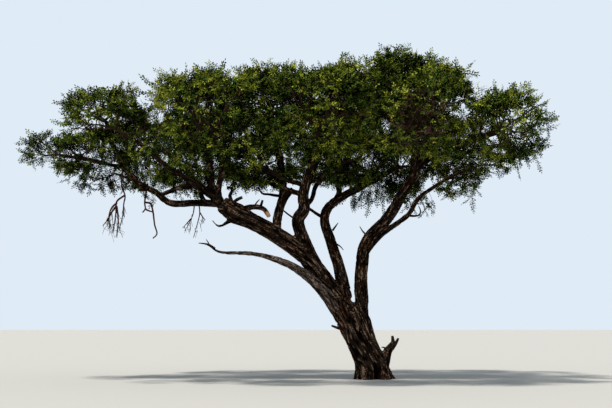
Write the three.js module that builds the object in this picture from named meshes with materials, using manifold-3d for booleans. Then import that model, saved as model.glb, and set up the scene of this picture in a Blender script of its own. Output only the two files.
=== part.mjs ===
// Umbrella acacia: an old savanna tree with a leaning, low-forking trunk and a wide, flat-topped crown.
// Millimetres, +Z up. The origin is the middle of the flat cut at ground level. +X is the side
// away from the lean, -Y is the front. Trunk, limbs and boughs are tapering solids. Each mass of
// foliage is one stem that forks by a seeded rule, with a leaf blade for each spray of small leaves.
import * as THREE from "three";
import { mergeVertices } from "three/addons/utils/BufferGeometryUtils.js";
import Module from "manifold-3d";

const wasm = await Module();
wasm.setup();
const { Manifold, Mesh } = wasm;

// Clearances
const GAP = 0.3; // between solids that meet face to face
const MASS_GAP = 40; // between the spaces of two neighbouring masses
const LIMB_CLEARANCE = 15; // between the space of a mass and the limbs that pass it
const SPACE_SAMPLE = 150; // along the limbs, where a space is cut clear of them
const WELD = 0.001; // points this near are one point
const SLIVER = 0.2; // faces of a mass that are narrower than this are closed up
const FACING = 1e-6; // the least cosine between a direction and a plane that it meets

// Trunk: half widths at the ground, at the waist and below the fork
const TRUNK_FOOT = 520;
const TRUNK_WAIST = 475;
const TRUNK_SHOULDER = 535;
const TRUNK_CROWN = 400; // the half width of its top, which the limbs' feet cover
const TRUNK_DEPTH = 0.86; // front to back against side to side
const WAIST_SHARE = 0.42; // of the trunk's height
const SHOULDER_SHARE = 0.86; // of the trunk's height
const FLARE = 110; // how far the root flare stands out at the ground
const FLARE_SKIRT = 0.35; // of the flare that stays between its lobes
const FLARE_HEIGHT = 330;
const FLARE_LOBES = 6;
const FLARE_TURN = 0.19; // radians, the direction of the first lobe
const FLARE_LEAN = 0.5; // how much wider than the middle the flare is on the side away from the lean
const TRUNK_SIDES = 18;
const TRUNK_STEPS = 7;

// Limbs and boughs
const LIMB_SIDES = 8;
const BOUGH_SIDES = 5;
const LIMB_RING_SPACING = 560;
const BOUGH_RING_SPACING = 850;
const BOUGH_ENTRY = 0.78; // share of the way from a mass's centre to its skin where its bough ends
const BOUGH_BEND = 0.38; // share of a bough's length over which it leaves its host's direction

// Crown: the ellipsoid that its masses fill, which gives each mass its outward side
const CROWN_CENTRE = [-2600, 0, 6600];
const CROWN_REACH = [8200, 6200, 3600];

// Foliage
const SPACE_POWER = 3; // how boxy the spaces of masses are, 2 for an ellipsoid
const TIPS = 7; // twig ends of a mass
const TIP_RADIUS = 16;
const STEM_POWER = 0.5; // a twig that carries n tips is n to this power thicker than one tip
const FORK_SHARE = 0.46; // how far towards its tips' middle a twig runs before it forks
const FOOT_RADIUS = 0.55; // a new twig's foot, sunk in its host, against its full radius
const TIP_TAPER = 0.75; // a twig's end against the radius that its one tip gives
const SPLIT_LEAST = 0.4; // the least share of its tips that a fork gives to one side
const SPLIT_RANGE = 0.2; // how much more than that it may give
const STEEP = 0.2; // the sine of a twig's lean under which its sides are taken from +Y
const STEM_WIDTH = 0.9; // the stem's foot against the bough's tip
const STEM_RUN = 2; // how many bough radii the stem runs straight on
const GOAL_DEPTH = 0.85; // how many leaf lengths a twig ends inside its space's skin
const GOAL_LEAST = 0.42; // the least share of the way to the skin where a twig ends
const LEAF_LENGTH = 1250;
const LEAF_WIDTH = 0.5; // of its length
const LEAF_THICKNESS = 0.045; // of its length
const LEAF_WIDEST = 0.42; // share of its length from the root
const LEAF_SIZES = [1, 0.85, 0.7, 0.55]; // tried in turn until the leaf fits
const LEAF_SINK = 9; // how far past its twig's middle a leaf's root is sunk
const LEAF_TILT = 0.9; // how far leaves lean from lying flat, 0 for not at all
const LEAF_SPACING = 205; // along a twig, from its end towards its foot
const LEAF_TURN = 1.05; // radians between a side leaf and its twig
const LEAF_RANKS = 9; // places on one twig
const LEAVES_MOST = 31; // on one mass

const BARK = new THREE.MeshStandardMaterial({ color: 0x3d2c22, roughness: 0.95, metalness: 0 });
const DEAD_WOOD = new THREE.MeshStandardMaterial({ color: 0x5c4c42, roughness: 0.9, metalness: 0 });
const FOLIAGE = new THREE.MeshStandardMaterial({ color: 0x4c6420, roughness: 0.7, metalness: 0 });

// The trunk's middle line, from the ground to below its fork
const TRUNK_PATH = [
  [0, 0, 0],
  [-30, 0, 420],
  [-300, 0, 1090],
  [-470, 0, 1500],
  [-660, 0, 2150],
];

// Limbs that show below the crown: evenly spaced radii from foot to tip, and the middle line's bends
const LIMBS = [
  {
    name: "left_limb",
    hosts: ["trunk"],
    radii: [400, 345, 300, 275, 263, 260, 260, 260, 258, 325, 235],
    path: [[-760, 0, 1880], [-1330, -50, 2720], [-2020, -150, 3660], [-2900, -300, 4270],
      [-3640, -400, 4670], [-4110, -450, 4900], [-4490, -500, 5170]],
  },
  {
    name: "right_limb",
    hosts: ["trunk", "left_limb"],
    radii: [225, 195, 175, 130, 95],
    path: [[-290, -50, 1500], [-325, -80, 2300], [-330, -150, 3160], [-160, -250, 4080],
      [460, -400, 4760], [840, -550, 5390], [1310, -600, 6220], [1090, -160, 7950]],
  },
  {
    name: "middle_limb",
    hosts: ["trunk", "left_limb", "right_limb"],
    radii: [215, 175, 160, 130, 110],
    path: [[-780, 60, 2350], [-980, 200, 3300], [-1220, 400, 4100], [-1410, 620, 4900],
      [-1170, 800, 5330], [-290, 1000, 5880], [280, 1000, 6170]],
  },
  {
    name: "left_arm",
    hosts: ["left_limb"],
    radii: [120, 80],
    path: [[-4300, -490, 5160], [-5230, -450, 5200], [-6040, -400, 5200], [-6430, -350, 5500],
      [-7060, -270, 5860], [-7560, -200, 6440], [-7880, -80, 7080]],
  },
  {
    name: "short_limb",
    hosts: ["left_limb"],
    radii: [150, 105],
    path: [[-2880, -220, 4350], [-2830, 0, 4850], [-2690, 450, 5590], [-2760, 450, 6500],
      [-2980, 350, 7450]],
  },
  {
    name: "centre_limb",
    hosts: ["left_limb", "short_limb"],
    radii: [200, 195, 150, 100],
    path: [[-1620, -160, 3250], [-1950, -180, 3880], [-2220, -300, 4700], [-2040, -360, 5020],
      [-2060, -400, 5450], [-1850, -280, 6150], [-1170, 0, 7700]],
  },
  {
    name: "low_right_limb",
    hosts: ["right_limb"],
    radii: [110, 58],
    path: [[-230, -220, 3700], [240, -450, 4240], [1030, -820, 4810], [1300, -1000, 5250],
      [2080, -1080, 5800]],
  },
  {
    name: "dead_limb",
    hosts: ["trunk", "left_limb"],
    radii: [205, 168, 128, 78, 60, 25],
    path: [[-1050, -190, 2000], [-1600, -300, 2720], [-2180, -350, 3200], [-2660, -370, 3440],
      [-3490, -450, 3670], [-4640, -500, 3770], [-4960, -500, 4130]],
  },
  {
    name: "base_stump",
    hosts: ["trunk"],
    radii: [200, 105],
    path: [[280, -110, 380], [420, -150, 800], [620, -150, 1050]],
  },
  {
    name: "broken_branch",
    hosts: ["left_limb"],
    radii: [105, 75],
    path: [[-4000, -420, 4960], [-3550, -660, 5050], [-3220, -690, 4985], [-3070, -700, 4740]],
  },
  {
    name: "knuckle_stub",
    hosts: ["left_limb"],
    radii: [75, 22],
    path: [[-4180, -460, 4700], [-4560, -640, 4480], [-4760, -700, 4665]],
  },
];

// Boughs inside the crown: each leaves its host at a share of its length and runs to its own mass
const BOUGHS = [
  { mass: "far_left", host: "left_arm", at: 0.78, radii: [62, 48] },
  { mass: "left_low", host: "left_arm", at: 0.6, radii: [58, 45] },
  { mass: "midleft_top", host: "left_limb", at: 0.97, radii: [125, 85] },
  { mass: "midleft_low", host: "left_arm", at: 0.12, radii: [85, 60] },
  { mass: "centre_left_low", host: "centre_limb", at: 0.52, radii: [85, 60] },
  { mass: "centre_low", host: "centre_limb", at: 0.54, radii: [80, 58] },
  { mass: "upper_right", host: "right_limb", at: 0.8, radii: [85, 62] },
  { mass: "far_right", host: "right_limb", at: 0.77, radii: [95, 60] },
  { mass: "front_far_left", host: "left_limb", at: 0.98, radii: [105, 68] },
  { mass: "front_left", host: "left_limb", at: 0.95, radii: [105, 68] },
  { mass: "front_centre", host: "centre_limb", at: 0.57, radii: [98, 68] },
  { mass: "front_right", host: "right_limb", at: 0.66, radii: [92, 65] },
  { mass: "front_far_right", host: "right_limb", at: 0.74, radii: [82, 58] },
  { mass: "back_far_left", host: "left_limb", at: 0.93, radii: [105, 68] },
  { mass: "back_left", host: "short_limb", at: 0.38, radii: [98, 68] },
  { mass: "back_centre", host: "middle_limb", at: 0.66, radii: [98, 68] },
  { mass: "back_right", host: "middle_limb", at: 0.8, radii: [92, 65] },
  { mass: "back_far_right", host: "right_limb", at: 0.7, radii: [82, 58] },
];

// Masses of foliage: the middle of each space and its half sizes. The limb named here carries it,
// or else a bough does.
const MASSES = {
  far_left: { centre: [-8950, -300, 6680], reach: [2000, 2000, 650] },
  left_top: { centre: [-8050, 100, 7950], reach: [1750, 2100, 950], limb: "left_arm" },
  left_low: { centre: [-7800, 800, 6300], reach: [1700, 2000, 750] },
  midleft_top: { centre: [-5250, 0, 8200], reach: [1600, 2300, 1200] },
  midleft_low: { centre: [-5800, 300, 6600], reach: [1700, 2100, 1050] },
  centre_left_top: { centre: [-3150, 100, 8300], reach: [1750, 2300, 1250], limb: "short_limb" },
  centre_left_low: { centre: [-3600, 350, 6630], reach: [1700, 2100, 1030] },
  centre_top: { centre: [-900, 0, 8400], reach: [1650, 2300, 1300], limb: "centre_limb" },
  centre_low: { centre: [-650, 350, 6720], reach: [1850, 2100, 1040] },
  right_top: { centre: [1000, 0, 8750], reach: [1550, 2300, 1320], limb: "right_limb" },
  right_mid: { centre: [1050, 900, 6650], reach: [1600, 2000, 1200], limb: "middle_limb" },
  upper_right: { centre: [2350, 200, 8200], reach: [1100, 2100, 1250] },
  far_right: { centre: [4100, -100, 7600], reach: [1450, 2000, 1300] },
  right_low: { centre: [2850, -500, 6200], reach: [1600, 2000, 900], limb: "low_right_limb" },
  front_far_left: { centre: [-7100, -2500, 6850], reach: [1900, 2000, 1000] },
  front_left: { centre: [-4450, -3200, 7100], reach: [1950, 2200, 1400] },
  front_centre: { centre: [-1600, -3300, 7200], reach: [1950, 2120, 1400] },
  front_right: { centre: [1200, -3100, 7380], reach: [1900, 2200, 1450] },
  front_far_right: { centre: [3300, -2300, 7050], reach: [1600, 1900, 1150] },
  back_far_left: { centre: [-6800, 2900, 7400], reach: [1900, 2000, 1350] },
  back_left: { centre: [-4300, 3300, 7750], reach: [1950, 2150, 1500] },
  back_centre: { centre: [-1300, 3300, 7850], reach: [2000, 2170, 1600] },
  back_right: { centre: [1500, 3200, 7900], reach: [1900, 2150, 1550] },
  back_far_right: { centre: [3500, 2400, 7450], reach: [1700, 1900, 1350] },
};

// Dead twigs that hang under the left arm: where they leave it, how far they fall, drift and spread
const HANGING = [
  { name: "hanging_twigs_left", at: 0.82, fall: 1950, drift: [-60, -60], spread: 330, tips: 6, radius: 32 },
  { name: "hanging_twigs_middle", at: 0.64, fall: 1450, drift: [330, 0], spread: 130, tips: 2, radius: 30 },
  { name: "hanging_twigs_right", at: 0.23, fall: 950, drift: [-130, 0], spread: 330, tips: 4, radius: 22 },
];

const HANG_SPREAD = 0.14; // how far the ends differ in height, as a share of the fall
const DOWN = new THREE.Vector3(0, 0, -1);

const vector = (p) => new THREE.Vector3(...p);

// Repeatable random numbers from 0 to 1, one sequence for each seed
function randomFrom(seed) {
  let state = seed >>> 0;
  return () => {
    state = (state + 0x6d2b79f5) >>> 0;
    let t = Math.imul(state ^ (state >>> 15), 1 | state);
    t = (t + Math.imul(t ^ (t >>> 7), 61 | t)) ^ t;
    return ((t ^ (t >>> 14)) >>> 0) / 4294967296;
  };
}

// A closed geometry as an exact solid for cutting and joining
function solidOf(geometry) {
  geometry.deleteAttribute("normal");
  geometry.deleteAttribute("uv");
  const merged = mergeVertices(geometry, WELD);
  return new Manifold(
    new Mesh({
      numProp: 3,
      vertProperties: merged.attributes.position.array,
      triVerts: new Uint32Array(merged.index.array),
    }),
  );
}

// The solid without loose scraps or sealed hollows
function mainBody(solid) {
  const bodies = solid.decompose();
  return bodies.reduce((best, body) => (body.volume() > best.volume() ? body : best));
}

function geometryOf(solid) {
  const mesh = solid.getMesh();
  return new THREE.BufferGeometry()
    .setAttribute("position", new THREE.BufferAttribute(mesh.vertProperties, 3))
    .setIndex(new THREE.BufferAttribute(mesh.triVerts, 1));
}

// A closed tube: a unit cylinder whose rings are moved onto frames of an origin and two side vectors
function tubeOn(frames, sides) {
  const steps = frames.length - 1;
  const geometry = new THREE.CylinderGeometry(1, 1, 1, sides, steps);
  const place = geometry.getAttribute("position");
  const point = new THREE.Vector3();
  for (let i = 0; i < place.count; i++) {
    point.fromBufferAttribute(place, i);
    const frame = frames[Math.round((point.y + 0.5) * steps)];
    const moved = frame.origin
      .clone()
      .addScaledVector(frame.across, point.x)
      .addScaledVector(frame.over, point.z);
    place.setXYZ(i, moved.x, moved.y, moved.z);
  }
  return solidOf(geometry);
}

// The radius at a share of a limb's length, from evenly spaced radii
function radiusAt(radii, share) {
  const place = share * (radii.length - 1);
  const before = Math.min(radii.length - 2, Math.floor(place));
  return THREE.MathUtils.lerp(radii[before], radii[before + 1], place - before);
}

// The rings of a round, tapering limb. With swell it is that much thicker and longer at both ends.
function limbFrames(curve, radii, steps, swell = 0) {
  const { tangents, normals, binormals } = curve.computeFrenetFrames(steps, false);
  return tangents.map((tangent, i) => {
    const share = i / steps;
    const radius = radiusAt(radii, share) + swell;
    const end = i === 0 ? -swell : i === steps ? swell : 0;
    return {
      origin: curve.getPointAt(share).addScaledVector(tangent, end),
      across: normals[i].clone().multiplyScalar(radius),
      over: binormals[i].clone().multiplyScalar(-radius),
    };
  });
}

// A limb: its curve, its solid and the slightly larger solid that its neighbours are cut by
function makeLimb(curve, radii, sides, spacing) {
  const steps = Math.max(2, Math.round(curve.getLength() / spacing));
  return {
    curve,
    radii,
    tipRadius: radii.at(-1),
    tip: curve.getPointAt(1),
    heading: curve.getTangentAt(1),
    solid: tubeOn(limbFrames(curve, radii, steps), sides),
    cutter: tubeOn(limbFrames(curve, radii, steps, GAP), sides),
  };
}

// Half width of the trunk at a share of its height
function trunkHalfWidth(share) {
  if (share < WAIST_SHARE) {
    const below = 1 - share / WAIST_SHARE;
    return THREE.MathUtils.lerp(TRUNK_WAIST, TRUNK_FOOT, below ** 2);
  }
  if (share < SHOULDER_SHARE) {
    const above = (share - WAIST_SHARE) / (SHOULDER_SHARE - WAIST_SHARE);
    return THREE.MathUtils.lerp(TRUNK_WAIST, TRUNK_SHOULDER, above ** 2);
  }
  const top = (share - SHOULDER_SHARE) / (1 - SHOULDER_SHARE);
  return THREE.MathUtils.lerp(TRUNK_SHOULDER, TRUNK_CROWN, top);
}

// The trunk has level rings, so that its foot is a flat cut, and a flare in lobes near the ground
function makeTrunk(swell) {
  const curve = new THREE.CatmullRomCurve3(TRUNK_PATH.map(vector));
  const geometry = new THREE.CylinderGeometry(1, 1, 1, TRUNK_SIDES, TRUNK_STEPS);
  const place = geometry.getAttribute("position");
  for (let i = 0; i < place.count; i++) {
    const share = place.getY(i) + 0.5;
    const middle = curve.getPoint(share);
    const angle = Math.atan2(-place.getZ(i), place.getX(i));
    const isCapCentre = Math.hypot(place.getX(i), place.getZ(i)) < 0.5;
    const lobe = 0.5 + 0.5 * Math.cos(FLARE_LOBES * (angle - FLARE_TURN));
    const lean = 1 + FLARE_LEAN * Math.cos(angle);
    const flare = FLARE * lean * (FLARE_SKIRT + lobe) * Math.exp(-middle.z / FLARE_HEIGHT);
    const half = isCapCentre ? 0 : trunkHalfWidth(share) + flare + swell;
    const lift = share === 1 ? swell : 0;
    place.setXYZ(
      i,
      middle.x + half * Math.cos(angle),
      middle.y + half * TRUNK_DEPTH * Math.sin(angle),
      middle.z + lift,
    );
  }
  return solidOf(geometry);
}

// How far a space with these half sizes reaches in a direction, before any cut
function reachAlong(half, way) {
  const shares = way.clone().divide(half).toArray();
  return shares.reduce((sum, share) => sum + Math.abs(share) ** SPACE_POWER, 0) ** (-1 / SPACE_POWER);
}

// The space of a mass: a rounded box, cut by a plane towards each neighbour that it would overlap
// and by a plane before each limb that would pass through it
function makeSpace(name, limbs) {
  const centre = vector(MASSES[name].centre);
  const reach = vector(MASSES[name].reach);
  const planes = [];
  for (const other of Object.keys(MASSES)) {
    if (other === name) continue;
    const way = vector(MASSES[other].centre).sub(centre);
    const distance = way.length();
    way.normalize();
    const mine = reachAlong(reach, way);
    const theirs = reachAlong(vector(MASSES[other].reach), way);
    if (distance < mine + theirs + MASS_GAP) {
      planes.push({ way, limit: (distance * mine) / (mine + theirs) - MASS_GAP / 2 });
    }
  }
  for (const { curve, radii } of limbs) {
    const samples = Math.ceil(curve.getLength() / SPACE_SAMPLE);
    for (let i = 0; i <= samples; i++) {
      const way = curve.getPointAt(i / samples).sub(centre);
      const radius = radiusAt(radii, i / samples) + LIMB_CLEARANCE;
      const limit = way.length() - radius;
      way.normalize();
      if (limit < reachAlong(reach, way)) planes.push({ way, limit });
    }
  }
  // Distance from the centre to the skin of the space in a direction
  const skin = (way) => {
    const cuts = planes
      .filter((plane) => way.dot(plane.way) > FACING)
      .map((plane) => plane.limit / way.dot(plane.way));
    return Math.min(reachAlong(reach, way), ...cuts);
  };
  const holds = (point) => {
    const way = point.clone().sub(centre);
    return way.length() <= skin(way.clone().normalize());
  };
  return { centre, skin, holds };
}

// Directions spread evenly over a sphere by the golden angle, from the pole onwards, with a seeded turn
function spreadDirections(count, pole, random) {
  const golden = Math.PI * (3 - Math.sqrt(5));
  const turn = random() * 2 * Math.PI;
  const toPole = new THREE.Quaternion().setFromUnitVectors(new THREE.Vector3(0, 0, 1), pole);
  return Array.from({ length: count }, (_, i) => {
    const up = 1 - (2 * i) / count;
    const level = Math.sqrt(1 - up * up);
    const angle = i * golden + turn;
    return new THREE.Vector3(level * Math.cos(angle), level * Math.sin(angle), up).applyQuaternion(toPole);
  });
}

// The outward side of the crown at a point
function outwardAt(point) {
  const reach = vector(CROWN_REACH);
  return point.clone().sub(vector(CROWN_CENTRE)).divide(reach).divide(reach).normalize();
}

// The forking rule: a twig runs towards the middle of its goals, then the goals are parted across
// their widest side. The half that lies straighter ahead keeps the twig, which path holds so far,
// and the other half gets a new one. Finished twigs go to the list of twigs.
function forkTwigs(path, goals, radiusFor, random, twigs) {
  if (goals.length === 1) {
    path.push({ point: goals[0], radius: radiusFor(1) * TIP_TAPER });
    twigs.push(path);
    return;
  }
  const here = path.at(-1).point;
  const middle = goals.reduce((sum, goal) => sum.add(goal), new THREE.Vector3()).divideScalar(goals.length);
  const fork = here.clone().lerp(middle, FORK_SHARE);
  path.push({ point: fork, radius: radiusFor(goals.length) });
  const box = new THREE.Box3().setFromPoints(goals);
  const size = box.getSize(new THREE.Vector3());
  const axis = ["x", "y", "z"].reduce((widest, name) => (size[name] > size[widest] ? name : widest));
  const sorted = [...goals].sort((a, b) => a[axis] - b[axis]);
  const share = SPLIT_LEAST + SPLIT_RANGE * random();
  const half = THREE.MathUtils.clamp(Math.round(goals.length * share), 1, goals.length - 1);
  const heading = fork.clone().sub(here).normalize();
  const straightness = (group) =>
    group.reduce((sum, goal) => sum + goal.clone().sub(fork).normalize().dot(heading), 0) / group.length;
  const groups = [sorted.slice(0, half), sorted.slice(half)];
  const [ahead, aside] = groups.sort((a, b) => straightness(b) - straightness(a));
  forkTwigs(path, ahead, radiusFor, random, twigs);
  const foot = { point: fork, radius: radiusFor(aside.length) * FOOT_RADIUS };
  forkTwigs([foot], aside, radiusFor, random, twigs);
}

// A three-sided twig along its forks
function twigSolid(path) {
  const frames = path.map(({ point, radius }, i) => {
    const before = path[Math.max(0, i - 1)].point;
    const after = path[Math.min(path.length - 1, i + 1)].point;
    const along = after.clone().sub(before).normalize();
    const across = new THREE.Vector3(0, 0, 1).cross(along);
    if (across.length() < STEEP) across.set(0, 1, 0).cross(along);
    across.normalize();
    return {
      origin: point,
      across: across.clone().multiplyScalar(radius),
      over: across.clone().cross(along).multiplyScalar(radius),
    };
  });
  return tubeOn(frames, 3);
}

// The four points of a leaf, which stands for a spray: its root, its tip and its two edges, which lie
// a little higher. They are keyed by the corners of a tetrahedron.
function leafPoints(root, along, normal, length) {
  const side = along.clone().cross(normal).normalize().multiplyScalar((length * LEAF_WIDTH) / 2);
  const rise = side.clone().cross(along).normalize().multiplyScalar(length * LEAF_THICKNESS);
  const belly = root.clone().addScaledVector(along, length * LEAF_WIDEST).add(rise);
  return {
    "-1,-1,1": root.clone().addScaledVector(along, -LEAF_SINK),
    "1,1,1": root.clone().addScaledVector(along, length),
    "-1,1,-1": belly.clone().add(side),
    "1,-1,-1": belly.clone().sub(side),
  };
}

// A leaf of four faces: a tetrahedron with its corners moved to the leaf's points
function leafSolid(points) {
  const geometry = new THREE.TetrahedronGeometry(1, 0);
  const place = geometry.getAttribute("position");
  for (let i = 0; i < place.count; i++) {
    const corner = [place.getX(i), place.getY(i), place.getZ(i)].map(Math.round);
    const point = points[corner.join()];
    place.setXYZ(i, point.x, point.y, point.z);
  }
  return solidOf(geometry);
}

// Where leaves may stand on a twig: one carries its end on, and the others take turns on its two
// sides, or the other side where they don't fit
function leafPlaces(path, outward, random) {
  const line = new THREE.CurvePath();
  for (let i = 1; i < path.length; i++) line.add(new THREE.LineCurve3(path[i - 1].point, path[i].point));
  const length = line.getLength();
  const fromTop = Math.acos(2 * random() - 1);
  const lean = new THREE.Vector3().setFromSphericalCoords(LEAF_TILT, fromTop, 2 * Math.PI * random());
  const flat = new THREE.Vector3(0, 0, 1).add(lean).normalize();
  const end = line.getTangentAt(1).add(outward).normalize();
  const places = [{ root: path.at(-1).point, ways: [end], flat }];
  for (let i = 1; i < LEAF_RANKS && i * LEAF_SPACING < length; i++) {
    const share = 1 - (i * LEAF_SPACING) / length;
    const turns = i % 2 ? [LEAF_TURN, -LEAF_TURN] : [-LEAF_TURN, LEAF_TURN];
    const ways = turns.map((turn) => line.getTangentAt(share).applyAxisAngle(flat, turn));
    places.push({ root: line.getPointAt(share), ways, flat });
  }
  return places;
}

// One mass of foliage, grown from the tip of its bough
function makeMass(name, bough, others, seed) {
  const random = randomFrom(seed);
  const space = makeSpace(name, others);
  const radiusFor = (tips) => TIP_RADIUS * tips ** STEM_POWER;
  const goals = spreadDirections(TIPS, outwardAt(space.centre), random).map((way) => {
    const skin = space.skin(way);
    const depth = Math.max(skin - LEAF_LENGTH * GOAL_DEPTH, skin * GOAL_LEAST);
    return space.centre.clone().addScaledVector(way, depth);
  });
  const foot = {
    point: bough.tip.clone().addScaledVector(bough.heading, GAP),
    radius: bough.tipRadius * STEM_WIDTH,
  };
  const stem = {
    point: foot.point.clone().addScaledVector(bough.heading, bough.tipRadius * STEM_RUN),
    radius: radiusFor(goals.length),
  };
  const twigs = [];
  forkTwigs([foot, stem], goals, radiusFor, random, twigs);

  const wood = twigs.map(twigSolid);
  const places = twigs.map((path) => {
    const outward = path.at(-1).point.clone().sub(space.centre).normalize();
    return leafPlaces(path, outward, random);
  });
  const blades = [];
  for (let rank = 0; rank < LEAF_RANKS; rank++) {
    places.forEach((onTwig, i) => {
      if (rank >= onTwig.length || blades.length === LEAVES_MOST) return;
      const { root, ways, flat } = onTwig[rank];
      const inTheWay = [bough.cutter, ...blades, ...wood.filter((twig) => twig !== wood[i])];
      const sized = (size) => ways.map((way) => leafPoints(root, way, flat, LEAF_LENGTH * size));
      const blade = LEAF_SIZES.flatMap(sized)
        .filter((points) => Object.values(points).every(space.holds))
        .map(leafSolid)
        .find((tried) => inTheWay.every((other) => tried.intersect(other).isEmpty()));
      if (blade) blades.push(blade);
    });
  }
  return mainBody(Manifold.union([...wood, ...blades])).simplify(SLIVER);
}

// Dead twigs that hang from the left arm, forked by the same rule with no leaves
function makeHanging({ at, fall, drift, spread, tips, radius }, host, seed) {
  const random = randomFrom(seed);
  const start = host.curve.getPointAt(at);
  const goals = spreadDirections(tips, DOWN, random).map((way) => {
    const height = fall * (HANG_SPREAD * (way.z + 1) - 1);
    return new THREE.Vector3(...drift, height).addScaledVector(way.setZ(0), spread).add(start);
  });
  const radiusFor = (count) => radius * (count / tips) ** STEM_POWER;
  const twigs = [];
  forkTwigs([{ point: start, radius }], goals, radiusFor, random, twigs);
  return Manifold.union(twigs.map(twigSolid));
}

function addMesh(group, name, solid, material) {
  const mesh = new THREE.Mesh(geometryOf(solid), material);
  mesh.name = name;
  group.add(mesh);
}

// The curve of a bough: it leaves along its host and turns to its mass's centre
function boughCurve(host, at, space) {
  const foot = host.curve.getPointAt(at);
  const inward = space.centre.clone().sub(foot).normalize();
  const depth = BOUGH_ENTRY * space.skin(inward.clone().negate());
  const entry = space.centre.clone().addScaledVector(inward, -depth);
  const bend = foot.distanceTo(entry) * BOUGH_BEND;
  const leaving = foot.clone().addScaledVector(host.curve.getTangentAt(at), bend);
  const arriving = entry.clone().addScaledVector(inward, -bend);
  return new THREE.CubicBezierCurve3(foot, leaving, arriving, entry);
}

function buildTree() {
  const tree = new THREE.Group();
  const solids = { trunk: { solid: makeTrunk(0), cutter: makeTrunk(GAP) } };
  addMesh(tree, "trunk", solids.trunk.solid, BARK);

  for (const { name, hosts, radii, path } of LIMBS) {
    const curve = new THREE.CatmullRomCurve3(path.map(vector), false, "centripetal");
    const limb = makeLimb(curve, radii, LIMB_SIDES, LIMB_RING_SPACING);
    limb.solid = mainBody(hosts.reduce((left, host) => left.subtract(solids[host].cutter), limb.solid));
    solids[name] = limb;
    addMesh(tree, name, limb.solid, name.startsWith("dead") ? DEAD_WOOD : BARK);
  }

  const carrierOf = {};
  for (const [mass, { limb }] of Object.entries(MASSES)) {
    if (limb) carrierOf[mass] = solids[limb];
  }
  for (const { mass, host, at, radii } of BOUGHS) {
    const curve = boughCurve(solids[host], at, makeSpace(mass, []));
    const bough = makeLimb(curve, radii, BOUGH_SIDES, BOUGH_RING_SPACING);
    const whole = Object.values(solids).reduce((left, other) => left.subtract(other.cutter), bough.solid);
    bough.solid = mainBody(whole);
    solids["bough_" + mass] = bough;
    carrierOf[mass] = bough;
    addMesh(tree, "bough_" + mass, bough.solid, BARK);
  }

  HANGING.forEach((hanging, i) => {
    const twigs = makeHanging(hanging, solids.left_arm, i + 1);
    const whole = Object.values(solids).reduce((left, other) => left.subtract(other.cutter), twigs);
    addMesh(tree, hanging.name, mainBody(whole), DEAD_WOOD);
  });

  const limbs = Object.values(solids).filter((solid) => solid.curve);
  Object.keys(MASSES).forEach((name, i) => {
    const others = limbs.filter((limb) => limb !== carrierOf[name]);
    addMesh(tree, "leaves_" + name, makeMass(name, carrierOf[name], others, i + 1), FOLIAGE);
  });
  return tree;
}

export default buildTree();
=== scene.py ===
"""An old umbrella acacia: ridged bark on its trunk and limbs, and a wide, flat-topped crown whose twigs
and leaf sprays grow by one forking rule. Metres, +Z up, the front towards -Y."""

import math

import bmesh
import bpy
import numpy as np
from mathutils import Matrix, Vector, noise


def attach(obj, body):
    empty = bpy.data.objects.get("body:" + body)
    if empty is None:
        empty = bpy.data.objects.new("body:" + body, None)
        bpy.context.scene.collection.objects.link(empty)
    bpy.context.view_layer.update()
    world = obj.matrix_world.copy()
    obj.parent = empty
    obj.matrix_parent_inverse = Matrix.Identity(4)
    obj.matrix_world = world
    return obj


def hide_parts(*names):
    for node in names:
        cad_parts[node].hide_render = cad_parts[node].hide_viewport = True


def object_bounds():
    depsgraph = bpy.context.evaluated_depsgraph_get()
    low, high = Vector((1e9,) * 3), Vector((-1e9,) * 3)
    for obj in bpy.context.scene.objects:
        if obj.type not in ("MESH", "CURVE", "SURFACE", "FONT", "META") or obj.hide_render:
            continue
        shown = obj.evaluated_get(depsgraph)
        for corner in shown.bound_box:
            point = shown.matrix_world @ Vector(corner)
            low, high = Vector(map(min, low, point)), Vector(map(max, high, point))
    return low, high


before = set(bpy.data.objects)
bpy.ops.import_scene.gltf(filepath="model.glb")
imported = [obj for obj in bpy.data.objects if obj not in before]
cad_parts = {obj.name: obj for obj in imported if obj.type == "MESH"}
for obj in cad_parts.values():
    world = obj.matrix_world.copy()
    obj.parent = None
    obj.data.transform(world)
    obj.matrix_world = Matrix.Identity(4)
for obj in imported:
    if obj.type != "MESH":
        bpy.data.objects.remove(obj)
cad_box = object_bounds()

UP = np.array([0.0, 0.0, 1.0])
FACING = 1e-6  # the least cosine between a direction and a plane that it meets
MOST_TRIANGLES = 190_000  # of one piece

# Camera: its place, with the horizon and the size of the picture in the picture's own pixels
PICTURE_WIDTH, PICTURE_HEIGHT = 612, 408
HORIZON_ROW = 329
FOCAL_PIXELS = 1000
SENSOR_WIDTH = 36.0  # millimetres
CAMERA_PLACE = (-1.98, -30.0, 1.47)

# Trunk: half widths, and shares of its height
TRUNK_FOOT = 0.52
TRUNK_WAIST = 0.475
TRUNK_SHOULDER = 0.535
TRUNK_CROWN = 0.40
TRUNK_DEPTH = 0.86
WAIST_SHARE = 0.42
SHOULDER_SHARE = 0.86
FLARE = 0.11
FLARE_SKIRT = 0.35
FLARE_HEIGHT = 0.33
FLARE_LOBES = 6
FLARE_TURN = 0.19
FLARE_LEAN = 0.5  # how much wider than the middle the flare is on the side away from the lean
CLEFT_TURN = 4.9  # radians, where a hollow parts two root lobes at the front
CLEFT_DEPTH = 0.3
CLEFT_HALF = 0.36  # radians, half its width at the ground
CLEFT_HEIGHT = 0.56
CLEFT_FADE = 2.5  # how soon below its top the hollow has its full depth
TRUNK_RADII = [0.52, 0.48, 0.55]  # roughly, from foot to fork, for its grain
TRUNK_SIDES = 96
TRUNK_RINGS = 40
BELOW_GROUND = 0.15  # how far the trunk reaches down before it is cut level with the ground
TRUNK_PATH = [(0, 0, 0), (-0.03, 0, 0.42), (-0.3, 0, 1.09), (-0.47, 0, 1.5), (-0.66, 0, 2.15)]

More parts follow.
